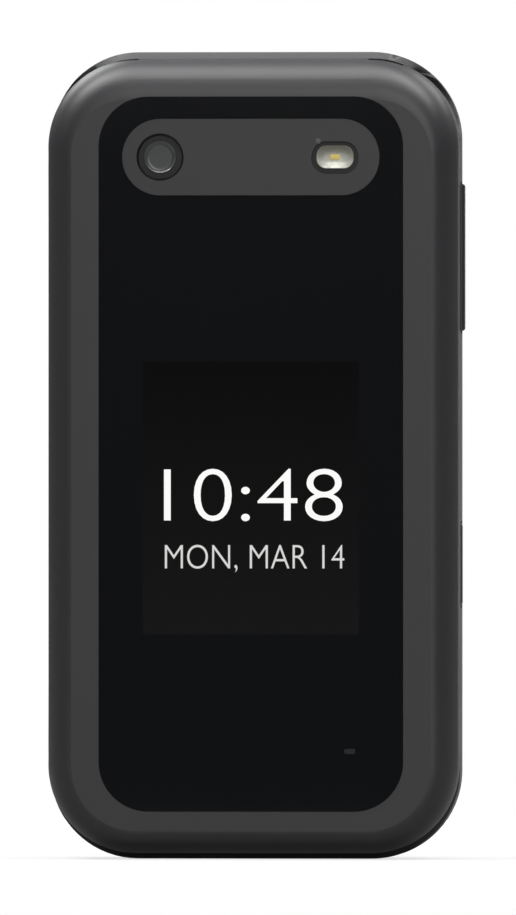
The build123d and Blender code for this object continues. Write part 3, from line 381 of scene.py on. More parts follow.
@dataclass(frozen=True)
class LitWindow:
    """A display's window: black print, and a clear part shaded from foot to head: the screen's glow when
    lit, a painted reflection when unlit.
    """

    name: str
    tint: Colour
    foot_glow_and_sheen: Colour
    head_glow_and_sheen: Colour
    centre: Place
    half_width: float
    half_height: float
    edge: float = 0.12
    lit: float = 0.0

    def material(self) -> bpy.types.Material:
        """Builds the material."""
        dress = Dresser(self.name)
        wiring = dress.wiring
        hands = dress.group(HANDLING, Roughness=0.05, Spread=0.02)
        dress.feed(hands.outputs["Roughness"], "Roughness")
        axes = wiring.node("ShaderNodeSeparateXYZ")
        wiring.join(dress.place, axes.inputs[0])
        masks = []
        sides = (("X", self.centre[0], self.half_width), ("Z", self.centre[1], self.half_height))
        for output, middle, half in sides:
            away = wiring.maths("ABSOLUTE", wiring.maths("SUBTRACT", axes.outputs[output], middle * MM))
            masks.append(wiring.fade(away, (half + self.edge) * MM, (half - self.edge) * MM, "SMOOTHSTEP"))
        clear = wiring.maths("MULTIPLY", masks[0], masks[1])
        foot, head = self.centre[1] - self.half_height, self.centre[1] + self.half_height
        # Foot-to-head change of the clear part: the screen's glow where the window is lit, a painted
        # reflection where it isn't.
        rise = wiring.fade(axes.outputs["Z"], foot * MM, head * MM)
        glow = wiring.mix(rise, self.foot_glow_and_sheen, self.head_glow_and_sheen)
        shown = wiring.mix(clear, self.tint, glow)
        dress.feed(shown, "Base Color")
        if self.lit:
            dress.feed(wiring.mix(clear, (0.0, 0.0, 0.0), glow), "Emission Color")
            dress.set(Emission_Strength=self.lit)
        return dress.material


@dataclass(frozen=True)
class SheetMetal:
    """Stamped, turned or plated metal with fine drawn lines."""

    name: str
    tint: Colour
    roughness: float = 0.3
    stretch: tuple[float, float, float] = (1.0, 1.0, 12.0)
    streak: float = 0.3
    shade: float = 0.1

    def material(self) -> bpy.types.Material:
        """Builds the material."""
        dress = Dresser(self.name)
        wiring = dress.wiring
        dress.set(Metallic=1.0)
        lines = wiring.node("ShaderNodeMapping")
        lines.inputs["Scale"].default_value = self.stretch
        wiring.join(dress.place, lines.inputs["Vector"])
        drawn = wiring.pattern("ShaderNodeTexNoise", lines.outputs["Vector"], Scale=900.0, Detail=4.0)
        smooth, rough = self.roughness * (1 - self.streak), self.roughness * (1 + self.streak)
        dress.feed(wiring.spread(drawn.outputs["Fac"], smooth, rough), "Roughness")
        tone = wiring.spread(drawn.outputs["Fac"], 1 - self.shade, 1 + self.shade)
        dress.feed(dress.tinted(self.tint, tone), "Base Color")
        return dress.material


@dataclass(frozen=True)
class CircuitLaminate:
    """Solder mask over copper tracks, with bare plated pads."""

    name: str
    tint: Colour
    track: Colour
    pad: Colour
    pad_size: float = 0.16
    track_waves: float = 60.0
    track_edge: float = 0.5
    mask_roughness: float = 0.32
    pad_roughness: float = 0.25

    def material(self) -> bpy.types.Material:
        """Builds the material."""
        dress = Dresser(self.name)
        wiring = dress.wiring
        cells = wiring.pattern(
            "ShaderNodeTexVoronoi", dress.place, feature="F1", distance="CHEBYCHEV", Scale=420.0
        )
        pads = wiring.maths("LESS_THAN", cells.outputs["Distance"], self.pad_size)
        flow = wiring.pattern("ShaderNodeTexNoise", dress.place, Scale=160.0, Detail=2.0, Distortion=0.6)
        waves = wiring.maths("SINE", wiring.maths("MULTIPLY", flow.outputs["Fac"], self.track_waves))
        tracks = wiring.maths("GREATER_THAN", waves, self.track_edge)
        dress.feed(wiring.mix(pads, wiring.mix(tracks, self.tint, self.track), self.pad), "Base Color")
        dress.feed(pads, "Metallic")
        dress.feed(wiring.spread(pads, self.mask_roughness, self.pad_roughness), "Roughness")
        bump = wiring.node("ShaderNodeBump", Strength=0.4, Distance=0.00003)
        wiring.join(tracks, bump.inputs["Height"])
        dress.feed(bump.outputs["Normal"], "Normal")
        return dress.material


@dataclass(frozen=True)
class CastRubber:
    """Dull rubber or silicone with a dusty bloom."""

    name: str
    tint: Colour
    roughness: float = 0.75

    def material(self) -> bpy.types.Material:
        """Builds the material."""
        dress = Dresser(self.name)
        grain = dress.group(GRAIN, Grain_Size=0.12 * MM, Grain_Depth=0.5, Mottle=0.35)
        hands = dress.group(HANDLING, Roughness=self.roughness, Spread=0.1)
        dress.feed(dress.tinted(self.tint, grain.outputs["Tone"]), "Base Color")
        dress.feed(grain.outputs["Normal"], "Normal")
        dress.feed(hands.outputs["Roughness"], "Roughness")
        return dress.material


@dataclass(frozen=True)
class CoatedGlass:
    """Coated lens glass with a smooth reflecting face, its colour painted: painted shade of its depth in the
    middle, a painted reflection towards its rim.
    """

    name: str
    tint: Colour
    # rim is the colour of the painted reflection at the lens's edge; tint is the painted shade of its depth.
    rim: Colour
    centre: Place
    radius: float
    painted_sheen_start: float = 0.5

    def material(self) -> bpy.types.Material:
        """Builds the material."""
        dress = Dresser(self.name)
        wiring = dress.wiring
        dress.set(Roughness=0.28, Coat_Weight=0.4, Coat_Roughness=0.1)
        moved = wiring.node("ShaderNodeMapping")
        moved.inputs["Location"].default_value = (-self.centre[0] * MM, 0.0, -self.centre[1] * MM)
        wiring.join(dress.place, moved.inputs["Vector"])
        flat = wiring.node("ShaderNodeVectorMath", operation="MULTIPLY")
        flat.inputs[1].default_value = (1.0, 0.0, 1.0)
        wiring.join(moved.outputs["Vector"], flat.inputs[0])
        reach = wiring.node("ShaderNodeVectorMath", operation="LENGTH")
        wiring.join(flat.outputs[0], reach.inputs[0])
        share = wiring.maths("DIVIDE", reach.outputs["Value"], self.radius * MM)
        # Painted shade in the middle, fading to a painted reflection towards the rim.
        painted_rim_sheen = wiring.fade(share, self.painted_sheen_start, 1.0, "SMOOTHERSTEP")
        dress.feed(wiring.mix(painted_rim_sheen, self.tint, self.rim), "Base Color")
        return dress.material


@dataclass(frozen=True)
class FlashBowl:
    """Flash bowl whose colour is painted light: painted shade at its upper corners, and a painted highlight
    with painted glints at its foot and middle.
    """

    name: str
    # dull is the painted shade of the upper corners; bright is the painted highlight at the foot and middle.
    dull: Colour
    bright: Colour
    centre: Place
    size: Place
    foot_reach: float = 0.35
    middle_share: float = 0.6
    edge_share: float = 0.4
    painted_glint: Place = (1.15, 0.75)

    def material(self) -> bpy.types.Material:
        """Builds the material."""
        dress = Dresser(self.name)
        wiring = dress.wiring
        axes = wiring.node("ShaderNodeSeparateXYZ")
        wiring.join(dress.place, axes.inputs[0])
        head, low = self.centre[1] + self.size[1] / 2, self.centre[1] - self.foot_reach * self.size[1]
        foot = wiring.fade(axes.outputs["Z"], head * MM, low * MM, "SMOOTHSTEP")
        away = wiring.maths("ABSOLUTE", wiring.maths("SUBTRACT", axes.outputs["X"], self.centre[0] * MM))
        middle = wiring.fade(away, 0.5 * self.size[0] * MM, 0.0, "SMOOTHSTEP")
        raised = wiring.maths("MULTIPLY", middle, self.middle_share)
        # Painted highlight: strongest at the foot and in the middle.
        painted_highlight = wiring.maths("MULTIPLY", foot, wiring.maths("ADD", raised, self.edge_share))
        # Painted glints: fine facets that break up the painted highlight.
        facets = wiring.pattern("ShaderNodeTexVoronoi", dress.place, feature="F1", Scale=1400.0)
        painted_glint = wiring.maths("MULTIPLY", painted_highlight, wiring.spread(facets.outputs["Distance"], *self.painted_glint))
        dress.feed(wiring.mix(painted_glint, self.dull, self.bright), "Base Color")
        dress.set(Roughness=0.18, Coat_Weight=0.5, Coat_Roughness=0.05)
        return dress.material


@dataclass(frozen=True)
class PrintedMark:
    """Pale printed or moulded-in marking with a slightly uneven edge of ink."""

    name: str
    tint: Colour
    roughness: float = 0.45

    def material(self) -> bpy.types.Material:
        """Builds the material."""
        dress = Dresser(self.name)
        grain = dress.group(GRAIN, Grain_Size=0.15 * MM, Grain_Depth=0.1, Mottle=0.12)
        dress.feed(dress.tinted(self.tint, grain.outputs["Tone"]), "Base Color")
        dress.set(Roughness=self.roughness)
        return dress.material


@dataclass(frozen=True)
class LitPixels:
    """Light from a display: an even glow with a fine grid of dots."""

    name: str
    tint: Colour
    strength: float = 1.0
    grid: float = 0.94

    def material(self) -> bpy.types.Material:
        """Builds the material."""
        dress = Dresser(self.name)
        wiring = dress.wiring
        dots = wiring.pattern(
            "ShaderNodeTexVoronoi", dress.place,
            feature="F1", distance="CHEBYCHEV", Scale=5000.0, Randomness=0.0
        )
        dress.set(Base_Color=(0.0, 0.0, 0.0), Roughness=0.2, Emission_Strength=self.strength)
        tone = wiring.spread(dots.outputs["Distance"], 1.0, self.grid)
        dress.feed(dress.tinted(self.tint, tone), "Emission Color")
        return dress.material


class Finishes:
    """Every finish of the phone, built once each when first asked for."""

    HOUSING = MouldedPlastic("soft_grey_plastic", srgb(45, 45, 47), 0.43)
    INNER = MouldedPlastic("satin_black_plastic", srgb(40, 40, 42), 0.4)
    CHASSIS = MouldedPlastic("black_chassis_plastic", srgb(34, 34, 36), 0.5, 0.35, 0.5)
    SIDE_KEY = MouldedPlastic("side_key_plastic", srgb(46, 46, 48), 0.36)
    KEY = MouldedPlastic("satin_key_plastic", srgb(38, 38, 41), 0.3, 0.15, 0.15)
    NAV = MouldedPlastic("satin_grey_ring", srgb(96, 97, 101), 0.28, 0.15, 0.12)
    CAMERA_TRIM = MouldedPlastic("fine_grey_trim", srgb(45, 45, 46), 0.48, 0.1, 0.2, 0.04)
    RING = MouldedPlastic("black_ring", srgb(13, 13, 13), 0.55)
    MODULE = MouldedPlastic("black_component", srgb(36, 36, 38), 0.55)
    # The cover window is not lit: its clear part, lighter at the foot and darker at the head, is a painted
    # reflection.
    OUTER_WINDOW = LitWindow(
        "outer_window", srgb(16, 17, 19), srgb(26, 26, 26), srgb(9, 9, 9), (0.0, 48.3), 14.45, 18.2
    )
    INNER_WINDOW = LitWindow(
        "inner_window", srgb(11, 11, 13), srgb(20, 46, 96), srgb(96, 70, 150), (0.0, 53.0), 21.9, 29.1,
        lit=0.55
    )
    DISPLAY = PolishedPanel("display_module", srgb(26, 26, 30), 0.15)
    # The lens: painted shade in its middle, a painted reflection at its rim.
    LENS = CoatedGlass("camera_glass", srgb(48, 50, 51), srgb(72, 74, 75), (-12.15, 93.8), 2.12)
    # The flash bowl's colours: painted shade at its upper corners, a painted highlight at its foot and
    # middle.
    FLASH = FlashBowl(
        "flash_bowl", srgb(112, 112, 98), srgb(250, 250, 238), (11.25, 93.8), (4.96, 3.06)
    )
    SENSOR = MouldedPlastic("sensor_eye", srgb(86, 87, 86), 0.5, 0.1, 0.05)
    LED = PrintedMark("flash_phosphor", srgb(236, 214, 120), 0.5)
    BOARD = CircuitLaminate(
        "circuit_board", (0.012, 0.07, 0.04), (0.02, 0.12, 0.06), (0.75, 0.55, 0.25)
    )
    SCREW = SheetMetal("dark_screw_steel", (0.16, 0.16, 0.17), 0.3)
    STEEL = SheetMetal("thin_steel", (0.56, 0.56, 0.57), 0.28)
    GOLD = SheetMetal("gold_plating", (0.9, 0.62, 0.22), 0.25)
    RUBBER = CastRubber("soft_rubber", srgb(42, 42, 44))
    FLEX = MouldedPlastic("amber_flex", (0.32, 0.13, 0.03), 0.35)
    CELL = MouldedPlastic("cell_wrap", srgb(62, 64, 70), 0.4, 0.4, 0.2)
    MARK = PrintedMark("white_mark", srgb(226, 228, 230))
    FAINT_MARK = PrintedMark("grey_mark", srgb(176, 178, 182))
    GREEN_MARK = PrintedMark("green_mark", srgb(60, 196, 92))
    RED_MARK = PrintedMark("red_mark", srgb(226, 58, 52))
    TIME = LitPixels("time_light", srgb(252, 252, 250), 1.0)
    DATE = LitPixels("date_light", srgb(214, 214, 212), 1.0)
    TEAL = LitPixels("teal_light", srgb(48, 178, 168), 0.8)
    AMBER = LitPixels("amber_light", srgb(236, 160, 52), 0.8)
    LEAF = LitPixels("leaf_light", srgb(92, 186, 84), 0.8)
    ROSE = LitPixels("rose_light", srgb(214, 84, 104), 0.8)
    LABEL = MouldedPlastic("cell_label", srgb(176, 178, 180), 0.55, 0.12, 0.1)
    LABEL_INK = PrintedMark("label_ink", srgb(60, 62, 66), 0.6)
    made: dict[str, bpy.types.Material] = {}

    @classmethod
    def of(cls, finish: object) -> bpy.types.Material:
        """The material of a finish, built on first use."""
        if finish.name not in cls.made:
            cls.made[finish.name] = finish.material()
        return cls.made[finish.name]


# ---------------------------------------------------------------- shaping


def leave_edit_and_deselect() -> None:
    """Makes sure that nothing is selected and that no object is open for editing."""
    if bpy.context.object and bpy.context.object.mode != "OBJECT":
        bpy.ops.object.mode_set(mode="OBJECT")
    bpy.ops.object.select_all(action="DESELECT")


def select_only(piece: bpy.types.Object) -> None:
    """Selects one object alone and makes it active."""
    leave_edit_and_deselect()
    piece.select_set(True)
    bpy.context.view_layer.objects.active = piece


class Shape:
    """One piece on the bench, in millimetres, shaped with Blender's own tools."""

    # How squarely a picked face looks its way, how much of a picked edge runs along Y, and how
    # many steps each curve of a letter has.
    FACING_LIMIT = 0.99
    ALONG_SHARE = 0.9
    LETTER_STEPS = 6

    def __init__(self, piece: bpy.types.Object, name: str) -> None:
        """Takes a fresh object onto the bench.

        Args:
            piece: The object, whose origin goes to the world's.
            name: What to call it.
        """
        self.piece = piece
        piece.name = name
        piece.data.name = name
        self.settle()

    @classmethod
    def block(cls, name: str, x: Place, y: Place, z: Place) -> "Shape":
        """A block between two places on each axis.

        Args:
            name: The piece's name.
            x: Left and right.
            y: Front and back.
            z: Low and high.

        Returns:
            The shape.
        """
        leave_edit_and_deselect()
        spans = (x, y, z)
        bpy.ops.mesh.primitive_cube_add(size=1.0, location=[(low + high) / 2 for low, high in spans])
        bpy.context.object.scale = [high - low for low, high in spans]
        return cls(bpy.context.object, name)

    @classmethod
    def pill(cls, name: str, size: Place, centre: Place, y: Place, corner: float,
             segments: int = 12) -> "Shape":
        """A block whose four corners are rounded as seen from the front.

        Args:
            name: The piece's name.
            size: Its width and height.
            centre: Its middle in X and Z.
            y: Its front and back.
            corner: Its corner radius.
            segments: How many faces round each corner.

        Returns:
            The shape.
        """
        (x, z), (wide, high) = centre, size
        made = cls.block(name, (x - wide / 2, x + wide / 2), y, (z - high / 2, z + high / 2))
        return made.round_columns(corner, segments)

    @classmethod
    def drum(cls, name: str, radius: float, y: Place, centre: Place, sides: int) -> "Shape":
        """A round column that stands along Y.

        Args:
            name: The piece's name.
            radius: Its radius.
            y: Front and back.
            centre: Its middle in X and Z.
            sides: How many faces go round it.

        Returns:
            The shape.
        """
        leave_edit_and_deselect()
        bpy.ops.mesh.primitive_cylinder_add(
            vertices=sides, radius=radius, depth=y[1] - y[0], end_fill_type="NGON",
            location=(centre[0], (y[0] + y[1]) / 2, centre[1]), rotation=(math.pi / 2, 0.0, 0.0),
        )
        return cls(bpy.context.object, name)

    @classmethod
    def words(cls, name: str, text: str, height: float, place: tuple[float, float, float],
              thickness: float, back: bool = False, width: float = 0.0, turn: float = 0.0,
              thin: float = 0.0) -> "Shape":
        """Flat figures or letters that stand on a face, read from the front or from the back.

        Args:
            name: The piece's name.
            text: What it says.
            height: Height of a figure.
            place: Where its middle is.
            thickness: How thick it is.
            back: Whether it is read from the back with the phone upside down, as inside the lid.
            width: Width to fit it to, or zero to leave it.
            turn: How far it is turned in its own plane, in degrees.
            thin: How much the strokes are thinned, as a share of the letters' size.

        Returns:
            The shape.
        """
        leave_edit_and_deselect()
        bpy.ops.object.text_add()
        made = bpy.context.object
        made.data.body = text
        made.data.offset = -thin
        made.data.extrude = thickness / 2
        made.data.resolution_u = cls.LETTER_STEPS
        bpy.ops.object.convert(target="MESH")
        made = bpy.context.object
        corners = [Vector(corner) for corner in made.bound_box]
        low = Vector(min(corner[axis] for corner in corners) for axis in range(3))
        high = Vector(max(corner[axis] for corner in corners) for axis in range(3))
        bpy.ops.object.mode_set(mode="EDIT")
        bpy.ops.mesh.select_all(action="SELECT")
        bpy.ops.transform.translate(value=-(low + high) / 2)
        upright = height / (high.y - low.y)
        across = width / (high.x - low.x) if width else upright
        bpy.ops.transform.resize(value=(across, upright, 1.0), center_override=(0.0, 0.0, 0.0))
        bpy.ops.object.mode_set(mode="OBJECT")
        made.rotation_euler = (-math.pi / 2 if back else math.pi / 2, math.radians(turn), 0.0)
        made.location = place
        return cls(made, name)

    @classmethod
    def of_node(cls, name: str, node: str) -> "Shape":
        """A copy of a CAD node's mesh with its loose triangles joined.

        Args:
            name: The new piece's name.
            node: The CAD node.

        Returns:
            The shape.
        """
        leave_edit_and_deselect()
        made = bpy.data.objects.new(name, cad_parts[node].data.copy())
        bpy.context.scene.collection.objects.link(made)
        made.data.materials.clear()
        made.scale = [1 / MM] * 3
        shape = cls(made, name)
        shape.edit(lambda face: True)
        bpy.ops.mesh.customdata_custom_splitnormals_clear()
        bpy.ops.mesh.select_all(action="SELECT")
        bpy.ops.mesh.remove_doubles(threshold=MERGE)
        return shape

    def copied(self, name: str, shift: tuple[float, float, float]) -> "Shape":
        """A copy of this shape with its own mesh, moved by a shift.

        Args:
            name: The copy's name.
            shift: How far it is moved on each axis.

        Returns:
            The copy.
        """
        leave_edit_and_deselect()
        made = self.piece.copy()
        made.data = self.piece.data.copy()
        bpy.context.scene.collection.objects.link(made)
        made.location = shift
        return Shape(made, name)

    def settle(self) -> "Shape":
        """Puts the object's place, turn and size into its mesh."""
        select_only(self.piece)
        bpy.ops.object.transform_apply(location=True, rotation=True, scale=True)
        return self

    def select(self, kind: str, test: Callable[[object], bool]) -> "Shape":
        """Opens the mesh and selects the points, edges or faces that pass a test.

        Args:
            kind: VERT, EDGE or FACE.
            test: Says of one of them whether it is picked.

        Returns:
            The same shape.
        """
        select_only(self.piece)
        bpy.ops.object.mode_set(mode="EDIT")
        bpy.ops.mesh.select_mode(type=kind)
        bpy.ops.mesh.select_all(action="DESELECT")
        mesh = bmesh.from_edit_mesh(self.piece.data)
        for part in {"VERT": mesh.verts, "EDGE": mesh.edges, "FACE": mesh.faces}[kind]:
            if test(part):
                part.select_set(True)
        bmesh.update_edit_mesh(self.piece.data)
        return self

    def edit(self, test: Callable[[bmesh.types.BMFace], bool]) -> "Shape":
        """Opens the mesh and selects the faces that pass a test."""
        return self.select("FACE", test)

    def pick(self, way: Facing) -> "Shape":
        """Opens the mesh and selects the faces that look a given way."""
        aim = Vector(way.value)
        return self.edit(lambda face: face.normal.dot(aim) > self.FACING_LIMIT)

    def pick_edges(self, test: Callable[[bmesh.types.BMEdge], bool]) -> "Shape":
        """Opens the mesh and selects the edges that pass a test."""
        return self.select("EDGE", test)

    def pick_points(self, test: Callable[[Vector], bool]) -> "Shape":
        """Opens the mesh and selects the points whose place passes a test."""
        return self.select("VERT", lambda vert: test(vert.co))

    def round_columns(self, radius: float, segments: int) -> "Shape":
        """Rounds the four corners of a block that run along Y."""
        def runs_deep(edge: bmesh.types.BMEdge) -> bool:
            """Whether an edge runs along Y."""
            run = edge.verts[1].co - edge.verts[0].co
            return abs(run.y) > self.ALONG_SHARE * run.length

        self.pick_edges(runs_deep)
        bpy.ops.mesh.bevel(offset=radius, segments=segments, affect="EDGES")
        return self

    def round_rim(self, way: Facing, radius: float, segments: int) -> "Shape":
        """Rounds the rim of the faces that look a given way."""
        self.pick(way)
        bpy.ops.mesh.region_to_loop()
        bpy.ops.mesh.bevel(offset=radius, segments=segments, affect="EDGES")
        return self

    def inset(self, way: Facing, inward: float, sink: float = 0.0) -> "Shape":
        """Draws a smaller face inside those that look a given way, and sinks it by a depth."""
        self.pick(way)
        bpy.ops.mesh.inset(thickness=inward, depth=-sink)
        return self

    def cut(self, tool: "Shape") -> "Shape":
        """Cuts another shape out of this one and throws the other away."""
        select_only(self.piece)
        cutter = self.piece.modifiers.new("cut", "BOOLEAN")
        cutter.operation, cutter.solver, cutter.object = "DIFFERENCE", "EXACT", tool.piece
        bpy.ops.object.modifier_apply(modifier=cutter.name)
        bpy.data.objects.remove(tool.piece)
        return self

    def join(self, others: Iterable["Shape"]) -> "Shape":
        """Takes other shapes into this one as parts of the same mesh."""
        select_only(self.piece)
        for other in others:
            other.piece.select_set(True)
        bpy.ops.object.join()
        return self

    def finish(self, finish: object, body: str, replaces: Iterable[str] = (), slot: str = "",
               angle: float = 35.0) -> bpy.types.Object:
        """Takes the piece off the bench: metres, smooth shading, its finish and its body.

        Args:
            finish: Its finish.
            body: The CAD body that it rides on.
            replaces: The CAD nodes that it stands for.
            slot: A material slot's name; not used.
            angle: The edges sharper than this stay sharp, in degrees.

        Returns:
            The finished object.
        """
        select_only(self.piece)
        self.piece.scale = (MM, MM, MM)
        bpy.ops.object.transform_apply(location=False, rotation=False, scale=True)
        bpy.ops.object.shade_smooth_by_angle(angle=math.radians(angle))
        weighting = self.piece.modifiers.new("flat_faces", "WEIGHTED_NORMAL")
        weighting.keep_sharp = True
        bpy.ops.object.modifier_apply(modifier=weighting.name)
        self.piece.data.materials.clear()
        self.piece.data.materials.append(Finishes.of(finish))
        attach(self.piece, body)
        if replaces:
            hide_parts(*replaces)
        return self.piece


# ---------------------------------------------------------------- CAD pieces that stay


@dataclass
class StandingPieces:
    """The CAD pieces whose shape stays, and the finish that each one gets."""

    finishes: dict[str, object] = field(default_factory=lambda: {
        "lid_shell": Finishes.HOUSING,
        "front_housing": Finishes.HOUSING,
        "back_cover": Finishes.HOUSING,
        "rear_chassis": Finishes.CHASSIS,
        "lid_inner_frame": Finishes.INNER,
        "lid_window": Finishes.OUTER_WINDOW,
        "inner_window": Finishes.INNER_WINDOW,
        "camera_plate": Finishes.CAMERA_TRIM,
        "camera_ring": Finishes.RING,
        "camera_lens": Finishes.LENS,
        "camera_module": Finishes.MODULE,
        "flash_lens": Finishes.FLASH,
        "flash_led": Finishes.LED,
        "cover_display": Finishes.DISPLAY,
        "main_display": Finishes.DISPLAY,
        "earpiece_mesh": Finishes.STEEL,
        "receiver": Finishes.MODULE,
        "lid_circuit_board": Finishes.BOARD,
        "main_board": Finishes.BOARD,
        "lid_screws": Finishes.SCREW,
        "base_screws": Finishes.SCREW,
        "lid_bumpers": Finishes.RUBBER,
        "hinge_barrel": Finishes.STEEL,
        "hinge_shafts": Finishes.STEEL,
        "lid_flex_cable": Finishes.FLEX,
        "base_flex_cable": Finishes.FLEX,
        "battery": Finishes.CELL,
        "battery_contacts": Finishes.GOLD,
        "key_mat": Finishes.RUBBER,
        "dome_sheet": Finishes.STEEL,
        "shield_cans": Finishes.STEEL,
        "usb_port": Finishes.STEEL,
        "headphone_jack": Finishes.RING,
        "loudspeaker": Finishes.MODULE,
        "vibration_motor": Finishes.STEEL,
        "microphone": Finishes.STEEL,
        "sim_and_card_holder": Finishes.STEEL,
        "antenna": Finishes.CHASSIS,
        "side_switches": Finishes.STEEL,
        "volume_rocker": Finishes.SIDE_KEY,
        "emergency_key": Finishes.SIDE_KEY,
        "nav_ring": Finishes.NAV,
        "ok_key": Finishes.KEY,
    })

    def dress(self) -> None:
        """Gives every CAD node its finish; a node that isn't named is a key."""
        for node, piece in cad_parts.items():
            piece.data.materials.clear()
            piece.data.materials.append(Finishes.of(self.finishes.get(node, Finishes.KEY)))
        LOG.info("dressed %d CAD pieces", len(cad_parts))


@dataclass
class BaseBrow:
    """The base's front housing, its sharp brow behind the hinge nose turned to a sloping band.

    The brow's edge moves back in steps, each from a little higher up, so that the band fades out
    towards its lower ends.
    """

    lean: tuple[float, float, float] = (0.0, -0.866, -0.5)
    lowest: float = 104.6
    soft_edge: float = 0.32
    deepest: float = 1.6
    band: float = 1.0
    steps: int = 5
    step_rise: float = 0.4
    flat_angle: float = 0.3
    alike: float = 0.98
    least_area: float = 50.0
    sharp_angle: float = 50.0
    setback: float = 0.21

    def build(self) -> None:
        """Draws the leaning face inward and moves its old soft edge back along the outline."""
        shape = Shape.of_node("front_housing_soft", "front_housing")
        bpy.ops.mesh.select_all(action="SELECT")
        bpy.ops.mesh.dissolve_limited(angle_limit=math.radians(self.flat_angle))
        lean = Vector(self.lean)
        shape.edit(lambda face: face.normal.dot(lean) > self.alike and face.calc_area() > self.least_area
                   and face.calc_center_median().z > self.lowest)
        mesh = bmesh.from_edit_mesh(shape.piece.data)
        rim = [vert.co.xz for vert in mesh.verts if vert.select and vert.co.z > self.lowest]
        bpy.ops.mesh.inset(thickness=self.band)
        for step in range(self.steps):
            low = self.lowest + step * self.step_rise
            shape.pick_points(lambda point: point.z > low and point.y < self.deepest
                              and any((point.xz - old).length < self.soft_edge for old in rim))
            bpy.ops.transform.translate(value=(0.0, self.setback, 0.0))
        shape.finish(Finishes.HOUSING, Body.BASE.value, ["front_housing"], "housing", self.sharp_angle)
        LOG.info("base: sloping brow behind the hinge nose, %d rim points", len(rim))


# ---------------------------------------------------------------- cover display


@dataclass
class CoverReadout:
    """The lit time and date that show through the outer window."""

    face_y: float = -9.42
    time_text: str = "10:48"
    time_place: Place = (0.33, 48.7)
    time_height: float = 7.0
    time_width: float = 23.9
    date_text: str = "MON, MAR 14"
    date_place: Place = (0.5, 40.2)
    date_height: float = 3.7
    date_width: float = 24.0
    thickness: float = 0.03
    thin: float = 0.012

    def build(self) -> None:
        """Makes both lines."""
        self.line("cover_time", self.time_text, self.time_height, self.time_place, self.time_width,
                  Finishes.TIME)
        self.line("cover_date", self.date_text, self.date_height, self.date_place, self.date_width,
                  Finishes.DATE)
        LOG.info("cover readout: %s, %s", self.time_text, self.date_text)

    def line(self, name: str, text: str, height: float, place: Place, width: float,
             finish: object) -> None:
        """Makes one lit line.

        Args:
            name: The piece's name.
            text: What it says.
            height: Height from its lowest to its highest point.
            place: Its middle in X and Z.
            width: Its width.
            finish: Its finish.
        """
        spot = (place[0], self.face_y + self.thickness / 2, place[1])
        shape = Shape.words(name, text, height, spot, thickness=self.thickness, width=width, thin=self.thin)
        shape.finish(finish, Body.LID.value, slot="display")


# ---------------------------------------------------------------- camera strip


